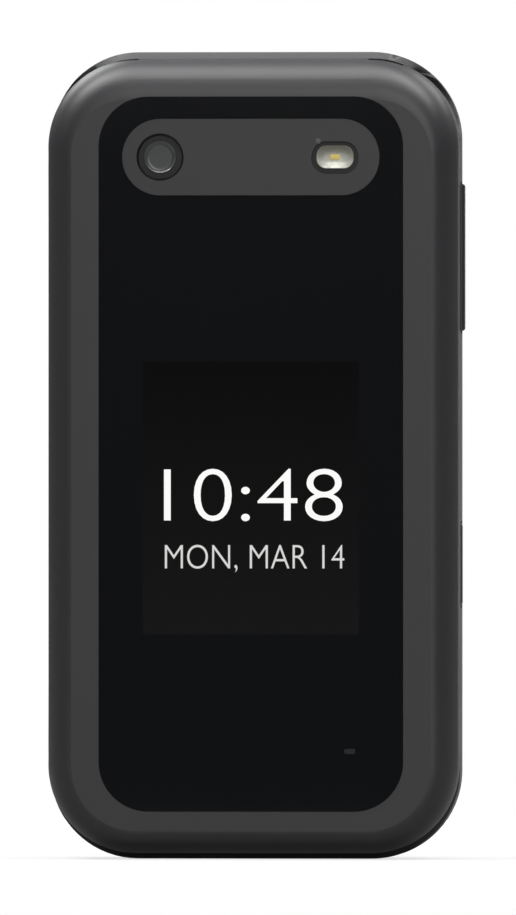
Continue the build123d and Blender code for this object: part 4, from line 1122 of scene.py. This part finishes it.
@dataclass
class CameraStrip:
    """Matte plate at the lid's head with its camera ring, dished lens, flash and light sensor."""

    face_y: float = -9.45
    floor_y: float = -8.76
    camera: Place = (-12.15, 93.8)
    ring_radius: float = 3.08
    ring_sink: float = 0.08
    ring_round: float = 0.08
    ring_lip: float = 0.1
    ring_wall: float = 0.12
    ring_moat: float = 0.42
    lens_radius: float = 2.12
    lens_sink: float = 0.12
    lens_round: float = 0.04
    lens_sharp: float = 30.0
    round_sides: int = 128
    ring_steps: int = 4
    bowl_steps: int = 3
    fine_steps: int = 2
    dish: tuple[Place, ...] = ((0.05, 0.0), (0.14, 0.1), (0.14, 0.09), (0.16, 0.08), (0.18, 0.05))
    flash: Place = (11.25, 93.8)
    flash_size: Place = (4.96, 3.06)
    flash_corner: float = 1.3
    flash_sink: float = 0.14
    flash_round: float = 0.08
    flash_lip: float = 0.12
    flash_wall: float = 0.8
    flash_depth: float = 0.4
    rim_size: Place = (6.3, 4.2)
    rim_drop: float = 0.15
    rim_sink: float = 0.3
    rim_round: float = 0.05
    rim_seat: float = 0.4
    rim_rear: float = 0.42
    die_size: Place = (1.3, 0.7)
    die_height: float = 0.12
    die_root: float = 0.02
    die_corner: float = 0.15
    die_round: float = 0.05
    sensor: Place = (8.95, 95.95)
    sensor_radius: float = 0.45
    sensor_sink: float = 0.06
    sensor_seat: float = 0.2
    sensor_round: float = 0.03
    sensor_sides: int = 40
    slot: Place = (13.2, 14.5)
    slot_size: Place = (1.56, 0.76)
    slot_sink: float = 0.35
    slot_root: float = 0.01
    slot_corner: float = 0.35

    def build(self) -> None:
        """Makes the plate and the pieces in it, and a black piece in the window's sound slot that stands for
        its mesh and paints the shade deep in the slot.
        """
        self.plate()
        # A black piece in the sound slot: the slot's mesh, and painted shade in its depth.
        depth = (self.face_y + self.slot_sink, self.floor_y + self.slot_root)
        mesh = Shape.pill("sound_slot_mesh", self.slot_size, self.slot, depth, self.slot_corner)
        mesh.finish(Finishes.RING, Body.LID.value, slot="camera_trim")
        self.ring()
        self.lens()
        self.flash_bowl()
        self.flash_die()
        LOG.info("camera strip: plate, ring, lens, flash and light sensor")

    def plate(self) -> None:
        """The plate, cut for the flash's dark rim and for the small light sensor."""
        low = (self.flash[0], self.flash[1] - self.rim_drop)
        corner = self.rim_size[1] / 2 - self.rim_round
        over = self.face_y - OVER_CUT
        seat = self.face_y + self.sensor_seat
        shape = Shape.of_node("camera_plate_face", "camera_plate")
        leave_edit_and_deselect()
        shape.cut(Shape.pill("rim_cut", self.rim_size, low, (over, self.face_y + self.rim_seat), corner))
        shape.cut(Shape.drum("sensor_cut", self.sensor_radius, (over, seat), self.sensor, self.sensor_sides))
        shape.finish(Finishes.CAMERA_TRIM, Body.LID.value, ["camera_plate"], "camera_trim")
        depth = (self.face_y + self.rim_sink, self.face_y + self.rim_rear)
        rim = Shape.pill("flash_rim", self.rim_size, low, depth, corner)
        rim.round_rim(Facing.FRONT, self.rim_round, self.fine_steps)
        rim.cut(Shape.pill("bowl_cut", self.flash_size, self.flash, (over, self.floor_y), self.flash_corner))
        rim.finish(Finishes.RING, Body.LID.value, slot="camera_trim")
        eye = Shape.drum("light_sensor", self.sensor_radius, (self.face_y + self.sensor_sink, seat),
                         self.sensor, self.sensor_sides)
        eye.round_rim(Facing.FRONT, self.sensor_round, self.fine_steps)
        eye.finish(Finishes.SENSOR, Body.LID.value, slot="lens")

    def ring(self) -> None:
        """The black ring: a soft rim, and a moat round the lens."""
        depth = (self.face_y + self.ring_sink, self.floor_y)
        shape = Shape.drum("camera_ring_face", self.ring_radius, depth, self.camera, self.round_sides)
        shape.round_rim(Facing.FRONT, self.ring_round, self.ring_steps)
        shape.inset(Facing.FRONT, self.ring_lip)
        shape.inset(Facing.FRONT, self.ring_wall, self.ring_moat)
        shape.finish(Finishes.RING, Body.LID.value, ["camera_ring"], "camera_trim")

    def lens(self) -> None:
        """The lens: a fine rim and a bowl that falls to the glass's middle."""
        depth = (self.face_y + self.lens_sink, self.floor_y)
        shape = Shape.drum("camera_glass", self.lens_radius, depth, self.camera, self.round_sides)
        shape.round_rim(Facing.FRONT, self.lens_round, self.fine_steps)
        for inward, sink in self.dish:
            shape.inset(Facing.FRONT, inward, sink)
        shape.finish(Finishes.LENS, Body.LID.value, ["camera_lens"], "lens", self.lens_sharp)

    def flash_bowl(self) -> None:
        """The flash's bright bowl, whose walls fall to the light in its middle."""
        depth = (self.face_y + self.flash_sink, self.floor_y)
        shape = Shape.pill("flash_bowl", self.flash_size, self.flash, depth, self.flash_corner)
        shape.round_rim(Facing.FRONT, self.flash_round, self.bowl_steps)
        shape.inset(Facing.FRONT, self.flash_lip)
        shape.inset(Facing.FRONT, self.flash_wall, self.flash_depth)
        shape.finish(Finishes.FLASH, Body.LID.value, ["flash_lens"], "flash")

    def flash_die(self) -> None:
        """The small light on the bowl's floor."""
        low = self.face_y + self.flash_sink + self.flash_depth
        depth = (low - self.die_height, low + self.die_root)
        shape = Shape.pill("flash_die", self.die_size, self.flash, depth, self.die_corner)
        shape.round_rim(Facing.FRONT, self.die_round, self.fine_steps)
        shape.finish(Finishes.LED, Body.LID.value, slot="led")


# ---------------------------------------------------------------- keypad


@dataclass(frozen=True)
class Legend:
    """What one key says: a large figure, small letters beside it, and how it is printed."""

    key: str
    figure: str
    letters: str
    place: Place
    finish: object = Finishes.MARK
    turn: float = 0.0


@dataclass
class Keypad:
    """Legends of the numbered keys and of the row above them."""

    face_y: float = -0.95
    stand: float = 0.025
    figure_height: float = 3.2
    letter_height: float = 1.35
    letter_width: float = 0.9
    hang_up_turn: float = 135.0
    figure_shift: float = 2.5
    letter_shift: float = 2.4
    columns: tuple[float, float, float] = (-14.8, 0.0, 14.8)
    rows: tuple[float, ...] = (9.4, 19.0, 28.6, 38.2, 48.6)
    soft_key: Place = (18.6, 79.0)
    soft_bar: Place = (3.4, 0.5)
    bar_flat: float = 0.01
    bar_steps: int = 4

    def legends(self) -> list[Legend]:
        """The legend of each key, from the lowest row up."""
        low, second, third, top, calls = self.rows
        left, middle, right = self.columns
        return [
            Legend("key_star", "*", "", (left, low)),
            Legend("key_0", "0", "+", (middle, low)),
            Legend("key_hash", "#", "", (right, low)),
            Legend("key_7", "7", "PQRS", (left, second)),
            Legend("key_8", "8", "TUV", (middle, second)),
            Legend("key_9", "9", "WXYZ", (right, second)),
            Legend("key_4", "4", "GHI", (left, third)),
            Legend("key_5", "5", "JKL", (middle, third)),
            Legend("key_6", "6", "MNO", (right, third)),
            Legend("key_1", "1", "", (left, top)),
            Legend("key_2", "2", "ABC", (middle, top)),
            Legend("key_3", "3", "DEF", (right, top)),
            Legend("call_key", "✆", "", (left, calls), Finishes.GREEN_MARK),
            Legend("clear_key", "C", "", (middle, calls), Finishes.FAINT_MARK),
            Legend("end_key", "✆", "", (right, calls), Finishes.RED_MARK, self.hang_up_turn),
        ]

    def build(self) -> None:
        """Prints every key."""
        for legend in self.legends():
            self.print_key(legend)
        left = self.bar("soft_key_left_bar", (-self.soft_key[0], self.soft_key[1]))
        right = left.copied("soft_key_right_bar", (2 * self.soft_key[0], 0.0, 0.0))
        left.finish(Finishes.MARK, "soft_key_left", slot="key")
        right.finish(Finishes.MARK, "soft_key_right", slot="key")
        LOG.info("keypad: %d legends and two soft key bars", len(self.legends()))

    def print_key(self, legend: Legend) -> None:
        """Prints one key with its figure, and its letters to the right of it."""
        x, z = legend.place
        shift = self.figure_shift if legend.letters else 0.0
        shape = Shape.words(f"{legend.key}_figure", legend.figure, self.figure_height,
                            (x - shift, self.face_y, z), thickness=2 * self.stand, turn=legend.turn)
        if legend.letters:
            wide = self.letter_width * self.letter_height * len(legend.letters)
            place = (x + self.letter_shift, self.face_y, z)
            letters = Shape.words(f"{legend.key}_letters", legend.letters, self.letter_height, place,
                                  thickness=2 * self.stand, width=wide)
            shape.join([letters])
        shape.finish(legend.finish, legend.key, slot="key")

    def bar(self, name: str, centre: Place) -> Shape:
        """The short bar of one soft key."""
        depth = (self.face_y - self.stand, self.face_y + self.stand)
        corner = self.soft_bar[1] / 2 - self.bar_flat
        return Shape.pill(name, self.soft_bar, centre, depth, corner, self.bar_steps)


@dataclass
class NavigationMarks:
    """Arrow marks on the navigation ring, and the OK key's print."""

    face_y: float = -0.95
    stand: float = 0.025
    centre: Place = (0.0, 68.6)
    arrow_radius: float = 9.1
    arrow_height: float = 1.1
    ok_height: float = 2.1

    def build(self) -> None:
        """Makes the four arrows as one piece, and the OK key's print."""
        arrows = []
        for step, name in enumerate(("up", "right", "down", "left")):
            angle = math.radians(QUARTER_TURN * step)
            spot = (self.centre[0] + self.arrow_radius * math.sin(angle), self.face_y,
                    self.centre[1] + self.arrow_radius * math.cos(angle))
            arrows.append(Shape.words(f"arrow_{name}", "▲", self.arrow_height, spot,
                                      thickness=2 * self.stand, turn=QUARTER_TURN * step))
        arrows[0].piece.name = "nav_arrows"
        arrows[0].join(arrows[1:]).finish(Finishes.MARK, "nav_ring", slot="nav")
        word = Shape.words("ok_print", "OK", self.ok_height, (self.centre[0], self.face_y, self.centre[1]),
                           thickness=2 * self.stand)
        word.finish(Finishes.MARK, "ok_key", slot="key")
        LOG.info("navigation: four arrows and the OK print")


# ---------------------------------------------------------------- main display


@dataclass
class HomeScreen:
    """A plain home screen on the main display, read with the lid open: its top is at the low end."""

    face_y: float = -1.4
    stand: float = 0.015
    time_text: str = "10:48"
    time_height: float = 7.2
    time_z: float = 36.6
    date_text: str = "Mon 14 March"
    date_height: float = 2.4
    date_z: float = 44.0
    status_z: float = 26.0
    edge_x: float = 19.8
    thin: float = 0.012
    corner_steps: int = 6
    bar_count: int = 4
    bar_rise: float = 0.5
    bar_foot: float = 0.65
    bar_corner: float = 0.08
    bar_width: float = 0.42
    bar_step: float = 0.7
    cell_size: Place = (2.6, 1.3)
    cell_corner: float = 0.3
    nub_size: Place = (0.25, 0.5)
    nub_gap: float = 0.15
    nub_corner: float = 0.05
    icon_size: float = 7.6
    icon_corner: float = 1.8
    icon_columns: tuple[float, float, float] = (-12.6, 0.0, 12.6)
    icon_rows: Place = (56.6, 69.6)
    glyph_size: float = 3.6
    glyph_lift: float = 0.01
    glyph_corner: float = 0.3
    mark_share: float = 0.8
    note_share: float = 1.5
    line_gap: float = 0.7
    line_size: Place = (0.5, 0.2)
    box_gap: float = 0.55

    def build(self) -> None:
        """Makes the time, the date, the status line and the six icons."""
        place = (0.0, self.face_y, self.time_z)
        self.light(Shape.words("home_time", self.time_text, self.time_height, place, back=True,
                               thickness=2 * self.stand, thin=self.thin), Finishes.TIME)
        place = (0.0, self.face_y, self.date_z)
        self.light(Shape.words("home_date", self.date_text, self.date_height, place, back=True,
                               thickness=2 * self.stand), Finishes.DATE)
        self.status()
        self.icons()
        LOG.info("home screen: time, date, status line and icons")

    def light(self, shape: Shape, finish: object) -> None:
        """Finishes one lit piece of the screen."""
        shape.finish(finish, Body.LID.value, slot="display")

    def panel(self, name: str, centre: Place, size: Place, corner: float, lift: float = 0.0) -> Shape:
        """A flat rounded panel on the screen.

        Args:
            name: Its name.
            centre: Its middle in X and Z.
            size: Its width and height.
            corner: Its corner radius.
            lift: How far its face stands over the others.

        Returns:
            The shape.
        """
        depth = (self.face_y - self.stand, self.face_y + self.stand + lift)
        return Shape.pill(name, size, centre, depth, corner, self.corner_steps)

    def status(self) -> None:
        """Signal bars at the left and a battery mark at the right."""
        bars = []
        for step in range(self.bar_count):
            high = self.bar_rise * (step + 1)
            place = (-self.edge_x + self.bar_step * step, self.status_z + self.bar_foot - high / 2)
            bars.append(self.panel(f"signal_{step}", place, (self.bar_width, high), self.bar_corner))
        wide = self.cell_size[0]
        place = (self.edge_x - wide / 2, self.status_z)
        cell = self.panel("status_cell", place, self.cell_size, self.cell_corner)
        place = (self.edge_x - wide - self.nub_gap, self.status_z)
        nub = self.panel("status_nub", place, self.nub_size, self.nub_corner)
        bars[0].piece.name = "status_line"
        self.light(bars[0].join([*bars[1:], cell, nub]), Finishes.DATE)

    def icons(self) -> None:
        """Six rounded tiles in four colours, each with a plain white shape."""
        tiles = {Finishes.TEAL: [], Finishes.AMBER: [], Finishes.LEAF: [], Finishes.ROSE: []}
        colours = list(tiles)
        shapes = []
        plain = self.panel("plain_tile", (0.0, 0.0), (self.icon_size, self.icon_size), self.icon_corner)
        for row, z in enumerate(self.icon_rows):
            for column, x in enumerate(self.icon_columns):
                number = len(self.icon_columns) * row + column
                tile = plain.copied(f"tile_{number}", (x, 0.0, z))
                tiles[colours[number % len(colours)]].append(tile)
                shapes.extend(self.picture(number, (x, z)))
        bpy.data.objects.remove(plain.piece)
        for finish, group in tiles.items():
            group[0].piece.name = f"{finish.name}_tiles"
            self.light(group[0].join(group[1:]), finish)
        shapes[0].piece.name = "icon_pictures"
        self.light(shapes[0].join(shapes[1:]), Finishes.TIME)

    def picture(self, number: int, centre: Place) -> list[Shape]:
        """The plain shape on one tile.

        Args:
            number: The tile's number.
            centre: Its middle.

        Returns:
            The shapes that it is made of.
        """
        x, z = centre
        lift, half = self.glyph_lift, self.glyph_size / 2
        small = self.glyph_size * self.mark_share
        spot = (x, self.face_y + lift, z)
        thick = 2 * self.stand
        if number == 0:
            return [Shape.words("picture_call", "✆", self.glyph_size, spot, back=True, thickness=thick)]
        if number == 1:
            size = (2 * half, self.note_share * half)
            return [self.panel("picture_note", centre, size, self.glyph_corner, lift)]
        if number == 2:
            return [Shape.words("picture_dot", "●", small, spot, back=True, thickness=thick)]
        if number == 3:
            high, corner = self.line_size
            return [self.panel(f"picture_line_{step}", (x, z + step * half * self.line_gap),
                               (2 * half, high), corner, lift) for step in (-1, 0, 1)]
        if number == 4:
            return [Shape.words("picture_play", "▲", small, spot, back=True, thickness=thick,
                                turn=QUARTER_TURN)]
        away, wide = half * self.box_gap, half * self.mark_share
        return [self.panel(f"picture_box_{left}_{low}", (x + left * away, z + low * away),
                           (wide, wide), self.glyph_corner, lift) for left in (-1, 1) for low in (-1, 1)]


@dataclass
class Earpiece:
    """The earpiece's perforated plate behind its slot in the inner frame."""

    centre: Place = (0.0, 9.4)
    size: Place = (10.0, 2.5)
    face_y: float = -1.45
    holes: tuple[int, int] = (24, 6)
    web: float = 0.08
    taper: float = 0.01
    depth: float = 0.14

    def build(self) -> None:
        """Makes the plate from a grid whose cells are drawn inward and sunk."""
        leave_edit_and_deselect()
        bpy.ops.mesh.primitive_grid_add(
            x_subdivisions=self.holes[0], y_subdivisions=self.holes[1], size=1.0,
            location=(self.centre[0], self.face_y, self.centre[1]), rotation=(-math.pi / 2, 0.0, 0.0),
        )
        bpy.context.object.scale = (self.size[0], self.size[1], 1.0)
        shape = Shape(bpy.context.object, "earpiece_plate")
        shape.edit(lambda face: True)
        bpy.ops.mesh.inset(thickness=self.web, use_individual=True)
        bpy.ops.mesh.inset(thickness=self.taper, depth=-self.depth, use_individual=True)
        bpy.ops.mesh.select_all(action="DESELECT")
        bpy.ops.object.mode_set(mode="OBJECT")
        shape.finish(Finishes.STEEL, Body.LID.value, ["earpiece_mesh"])
        LOG.info("earpiece: %d by %d holes", *self.holes)


# ---------------------------------------------------------------- screws and ports


@dataclass
class ScrewHeads:
    """Cross recesses in the heads of the lid's and the base's screws."""

    lid_places: tuple[Place, ...] = ((-19.0, 7.6), (19.0, 7.6), (-23.0, 90.8), (23.0, 90.8))
    base_places: tuple[Place, ...] = (
        (-23.7, 18.6), (-23.7, 57.0), (23.7, 18.6), (23.7, 57.0), (-9.5, 97.6), (9.5, 97.6)
    )
    lid_head_y: float = -2.0
    base_head_y: float = 6.6
    arm: float = 0.85
    slot_width: float = 0.34
    depth: float = 0.45
    sharp_angle: float = 25.0

    def build(self) -> None:
        """Cuts both sets of screws."""
        self.cut_heads("lid_screws", self.lid_places, self.lid_head_y, Body.LID)
        self.cut_heads("base_screws", self.base_places, self.base_head_y, Body.BASE)
        LOG.info("screws: %d cross recesses", len(self.lid_places) + len(self.base_places))

    def cut_heads(self, node: str, places: Iterable[Place], head_y: float, body: Body) -> None:
        """Cuts a cross into each head of one set.

        Args:
            node: The CAD node that holds the set.
            places: The heads' middles in X and Z.
            head_y: Where the heads' faces are.
            body: The body that the screws ride on.
        """
        shape = Shape.of_node(f"{node}_crossed", node)
        leave_edit_and_deselect()
        half, arm = self.slot_width / 2, self.arm
        deep = (head_y - self.depth, head_y + OVER_CUT)
        across = Shape.block("slot_across", (-arm, arm), deep, (-half, half))
        upright = Shape.block("slot_upright", (-half, half), deep, (-arm, arm))
        for x, z in places:
            for tool in (across, upright):
                shape.cut(tool.copied("slot_tool", (x, 0.0, z)))
        for tool in (across, upright):
            bpy.data.objects.remove(tool.piece)
        shape.finish(Finishes.SCREW, body.value, [node], "screw", self.sharp_angle)


@dataclass
class Ports:
    """Gold contacts on the socket's tongue, and the collar at the headphone socket's mouth."""

    contact_count: int = 5
    contact_step: float = 0.62
    contact_width: float = 0.32
    contact_z: Place = (0.62, 2.6)
    contact_y: Place = (3.88, 3.94)
    round_sides: int = 64
    collar_x: float = -27.46
    collar_depth: float = 0.5
    collar_round: float = 0.08
    collar_steps: int = 3
    bore_depth: float = 2.0
    collar_radius: float = 2.25
    collar_bore: float = 1.8
    collar_place: Place = (2.55, 87.4)

    def build(self) -> None:
        """Makes the contacts and the collar."""
        self.contacts()
        self.collar()
        LOG.info("ports: %d contacts and a collar", self.contact_count)

    def contacts(self) -> None:
        """Strips on the tongue's rear face, the first modelled and the others copied."""
        half = self.contact_width / 2
        x = -(self.contact_count - 1) / 2 * self.contact_step
        strip = Shape.block("socket_contacts", (x - half, x + half), self.contact_y, self.contact_z)
        others = [strip.copied(f"socket_contact_{step}", (step * self.contact_step, 0.0, 0.0))
                  for step in range(1, self.contact_count)]
        strip.join(others).finish(Finishes.GOLD, Body.BASE.value, slot="metal")

    def collar(self) -> None:
        """A thin bright ring round the mouth of the headphone socket."""
        leave_edit_and_deselect()
        bpy.ops.mesh.primitive_cylinder_add(
            vertices=self.round_sides, radius=self.collar_radius, depth=self.collar_depth,
            location=(self.collar_x + self.collar_depth / 2, *self.collar_place),
            rotation=(0.0, math.pi / 2, 0.0), end_fill_type="NGON",
        )
        ring = Shape(bpy.context.object, "socket_collar")
        bpy.ops.mesh.primitive_cylinder_add(
            vertices=self.round_sides, radius=self.collar_bore, depth=self.bore_depth,
            location=(self.collar_x, *self.collar_place),
            rotation=(0.0, math.pi / 2, 0.0), end_fill_type="NGON",
        )
        ring.cut(Shape(bpy.context.object, "collar_bore"))
        ring.round_rim(Facing.LEFT, self.collar_round, self.collar_steps)
        ring.finish(Finishes.STEEL, Body.BASE.value, slot="metal")


@dataclass
class BatteryPrint:
    """A plain label on the battery: a pale panel, bars without words, and the two poles' signs."""

    face_y: float = 8.2
    stand: float = 0.02
    panel_x: Place = (-17.5, 17.5)
    panel_z: Place = (29.0, 70.0)
    corner: float = 1.5
    corner_steps: int = 8
    bar_x: float = -14.5
    bar_widths: tuple[float, ...] = (20.0, 26.0, 14.0, 24.0, 18.0)
    bar_step: float = 3.4
    bar_height: float = 0.9
    bar_top: float = 62.0
    sign_heights: Place = (2.0, 0.5)
    sign_z: float = 73.2
    sign_x: float = 3.6

    def build(self) -> None:
        """Makes the label and its print."""
        depth = (self.face_y - self.stand, self.face_y + self.stand)
        shape = Shape.block("battery_label", self.panel_x, depth, self.panel_z)
        shape.round_columns(self.corner, self.corner_steps)
        shape.finish(Finishes.LABEL, Body.BASE.value, slot="battery")
        bars = []
        for step, wide in enumerate(self.bar_widths):
            z = self.bar_top - step * self.bar_step
            bars.append(Shape.block(
                f"label_bar_{step}", (self.bar_x, self.bar_x + wide),
                (self.face_y, self.face_y + 2 * self.stand),
                (z - self.bar_height / 2, z + self.bar_height / 2),
            ))
        bars[0].piece.name = "label_bars"
        bars[0].join(bars[1:]).finish(Finishes.LABEL_INK, Body.BASE.value, slot="battery")
        plus, minus = self.sign_heights
        signs = [
            Shape.words(f"pole_{name}", sign, height, (side * self.sign_x, self.face_y, self.sign_z),
                        back=True, thickness=2 * self.stand)
            for name, sign, side, height in (("plus", "+", 1, plus), ("minus", "-", -1, minus))
        ]
        signs[0].piece.name = "pole_signs"
        signs[0].join(signs[1:]).finish(Finishes.LABEL, Body.BASE.value, slot="battery")
        LOG.info("battery: label with %d bars and two signs", len(self.bar_widths))


@dataclass
class SideMarks:
    """The volume rocker with a plus and a minus cut into its face and filled with pale ink."""

    face_x: float = 28.0
    key_y: float = 2.05
    middle: float = 80.5
    reach: float = 7.4
    arm: float = 0.62
    stroke: float = 0.13
    depth: float = 0.12
    ink: float = 0.03
    ink_root: float = 0.02
    slack: float = 0.005

    def bars(self, name: str, low: float, high: float, slack: float) -> list[Shape]:
        """The three bars of the plus and the minus.

        Args:
            name: Start of their names.
            low: How deep they start under the face.
            high: How deep they end under the face.
            slack: How much each is narrower on every side.

        Returns:
            The bars.
        """
        arm, stroke = self.arm - slack, self.stroke - slack
        made = []
        strokes = ((1, arm, stroke), (1, stroke, arm), (-1, arm, stroke))
        for number, (side, deep, tall) in enumerate(strokes):
            z = self.middle + side * self.reach
            made.append(Shape.block(f"{name}_{number}", (self.face_x - low, self.face_x - high),
                                    (self.key_y - deep, self.key_y + deep), (z - tall, z + tall)))
        return made

    def build(self) -> None:
        """Cuts the rocker and fills the marks."""
        shape = Shape.of_node("volume_rocker_marked", "volume_rocker")
        leave_edit_and_deselect()
        for bar in self.bars("mark_cut", self.depth, -OVER_CUT, 0.0):
            shape.cut(bar)
        shape.finish(Finishes.SIDE_KEY, "volume_rocker", ["volume_rocker"], "housing")
        ink = self.bars("mark_ink", self.depth + self.ink_root, self.ink, self.slack)
        ink[0].piece.name = "volume_marks"
        ink[0].join(ink[1:]).finish(Finishes.FAINT_MARK, "volume_rocker")
        LOG.info("side marks: plus and minus")


# ---------------------------------------------------------------- studio


@dataclass(frozen=True)
class Lamp:
    """A soft rectangular lamp that is turned to the phone."""

    name: str
    place: tuple[float, float, float]
    size: Place
    power: float

    def hang(self, aim: Vector) -> None:
        """Makes the lamp.

        Args:
            aim: The point that it is turned to.
        """
        data = bpy.data.lights.new(self.name, "AREA")
        data.shape = "RECTANGLE"
        data.size, data.size_y = self.size
        data.energy = self.power
        lamp = bpy.data.objects.new(self.name, data)
        lamp.visible_camera = False
        lamp.location = self.place
        lamp.rotation_mode = "QUATERNION"
        lamp.rotation_quaternion = (aim - lamp.location).to_track_quat("-Z", "Y")
        bpy.context.scene.collection.objects.link(lamp)


@dataclass
class Studio:
    """Camera, lamps, white surround and pale floor."""

    image_height: int = 915
    pixel: float = 0.13391
    turn: float = 3.8
    distance: float = 2.8
    aim: tuple[float, float, float] = (0.335, 0.0, 53.7)
    sensor: float = 36.0
    clip: Place = (0.1, 50.0)
    floor_x: float = 0.6
    floor_y: Place = (-0.3, 0.3)
    floor_colour: float = 0.18
    floor_glow: float = 0.72
    floor_sheen: float = 0.12
    fade_near: float = 0.05
    fade_far: float = 0.2
    room_low: float = 0.02
    room_high: float = 0.22
    room_front: float = 0.5
    backdrop_edge: float = 0.97
    lamps: tuple[Lamp, ...] = (
        Lamp("overhead_softbox", (0.0, -0.05, 0.52), (0.3, 0.3), 1.45),
        Lamp("upper_left_softbox", (-0.26, -0.04, 0.5), (0.22, 0.26), 2.0),
        Lamp("upper_right_softbox", (0.26, -0.04, 0.5), (0.22, 0.26), 1.6),
        Lamp("key_softbox", (0.14, -1.0, 0.42), (0.6, 0.6), 4.1),
        Lamp("rear_left_softbox", (-0.5, 0.8, 0.75), (0.5, 0.5), 4.0),
        Lamp("rear_right_softbox", (0.6, 0.8, 0.75), (0.5, 0.5), 2.6),
    )

    def build(self) -> None:
        """Makes the whole studio."""
        self.set_camera()
        middle = Vector(self.aim) * MM
        for lamp in self.lamps:
            lamp.hang(middle)
        self.paint_surround()
        self.lay_floor()
        bpy.context.scene.view_settings.view_transform = "Standard"
        LOG.info("studio: %d lamps, camera turned %.1f degrees", len(self.lamps), self.turn)

    def set_camera(self) -> None:
        """Puts the camera almost straight before the lid, far off with a long lens."""
        data = bpy.data.cameras.new("camera")
        camera = bpy.data.objects.new("camera", data)
        bpy.context.scene.collection.objects.link(camera)
        turn = math.radians(self.turn)
        back = Vector((math.sin(turn), -math.cos(turn), 0.0))
        side = Vector((math.cos(turn), math.sin(turn), 0.0))
        aim = side * self.aim[0] * MM + Vector((0.0, 0.0, self.aim[2] * MM))
        camera.location = aim + back * self.distance
        camera.rotation_mode = "QUATERNION"
        camera.rotation_quaternion = (-back).to_track_quat("-Z", "Y")
        data.sensor_width = self.sensor
        data.lens = self.sensor * self.distance / (self.image_height * self.pixel * MM)
        data.clip_start, data.clip_end = self.clip
        bpy.context.scene.camera = camera

    def paint_surround(self) -> None:
        """White to the camera, and to the object a soft room, brighter above and dimmer in front."""
        world = bpy.data.worlds.new("surround")
        bpy.context.scene.world = world
        world.use_nodes = True
        wiring = Wiring(world.node_tree)
        output = wiring.node("ShaderNodeOutputWorld")
        light = wiring.node("ShaderNodeBackground", Color=(1.0, 1.0, 1.0, 1.0))
        wiring.join(light.outputs[0], output.inputs["Surface"])
        axes = wiring.node("ShaderNodeSeparateXYZ")
        wiring.join(wiring.node("ShaderNodeTexCoord").outputs["Generated"], axes.inputs[0])
        shares = {}
        for axis, low, high in (("Z", self.room_low, self.room_high), ("Y", self.room_front, 1.0)):
            shares[axis] = wiring.fade(axes.outputs[axis], -1.0, 1.0, "SMOOTHSTEP", low, high)
        room = wiring.maths("MULTIPLY", shares["Z"], shares["Y"])
        path = wiring.node("ShaderNodeLightPath")
        seen_through = wiring.maths("MAXIMUM", path.outputs["Is Glossy Ray"],
                                    path.outputs["Is Transmission Ray"])
        backdrop = wiring.maths("GREATER_THAN", axes.outputs["Y"], self.backdrop_edge)
        white = wiring.maths("MAXIMUM", path.outputs["Is Camera Ray"],
                             wiring.maths("MULTIPLY", seen_through, backdrop))
        wiring.join(wiring.maths("MAXIMUM", white, room), light.inputs["Strength"])

    def lay_floor(self) -> None:
        """A pale floor that keeps the phone's shadow and fades into the white surround."""
        leave_edit_and_deselect()
        middle = (self.floor_y[0] + self.floor_y[1]) / 2
        bpy.ops.mesh.primitive_plane_add(size=1.0, location=(0.0, middle, 0.0))
        floor = bpy.context.object
        floor.name = "floor"
        floor.scale = (2 * self.floor_x, self.floor_y[1] - self.floor_y[0], 1.0)
        bpy.ops.object.transform_apply(location=True, rotation=True, scale=True)
        dress = Dresser("pale_floor")
        wiring = dress.wiring
        dress.set(Base_Color=(self.floor_colour,) * 3, Roughness=0.9, Specular_IOR_Level=0.0)
        path = wiring.node("ShaderNodeLightPath")
        mirrored = wiring.maths("MULTIPLY", path.outputs["Is Glossy Ray"], self.floor_sheen)
        seen = wiring.maths("MAXIMUM", mirrored, wiring.maths(
            "MAXIMUM", path.outputs["Is Camera Ray"], path.outputs["Is Transmission Ray"]))
        reach = wiring.node("ShaderNodeVectorMath", operation="LENGTH")
        wiring.join(dress.place, reach.inputs[0])
        fade = wiring.fade(reach.outputs["Value"], self.fade_near, self.fade_far, "SMOOTHSTEP",
                           self.floor_glow, 1.0)
        glow = wiring.node("ShaderNodeEmission")
        wiring.join(wiring.maths("MULTIPLY", seen, fade), glow.inputs["Strength"])
        both = wiring.node("ShaderNodeAddShader")
        wiring.join(dress.shader.outputs["BSDF"], both.inputs[0])
        wiring.join(glow.outputs[0], both.inputs[1])
        output = next(node for node in wiring.tree.nodes if node.type == "OUTPUT_MATERIAL")
        wiring.join(both.outputs[0], output.inputs["Surface"])
        floor.data.materials.append(dress.material)


def main() -> None:
    """Builds the phone's looks and the studio around them."""
    logging.basicConfig(level=logging.INFO, format="%(name)s: %(message)s")
    Studio().build()
    StandingPieces().dress()
    BaseBrow().build()
    CoverReadout().build()
    CameraStrip().build()
    Keypad().build()
    NavigationMarks().build()
    HomeScreen().build()
    Earpiece().build()
    ScrewHeads().build()
    Ports().build()
    BatteryPrint().build()
    SideMarks().build()


if __name__ == "__main__":
    main()
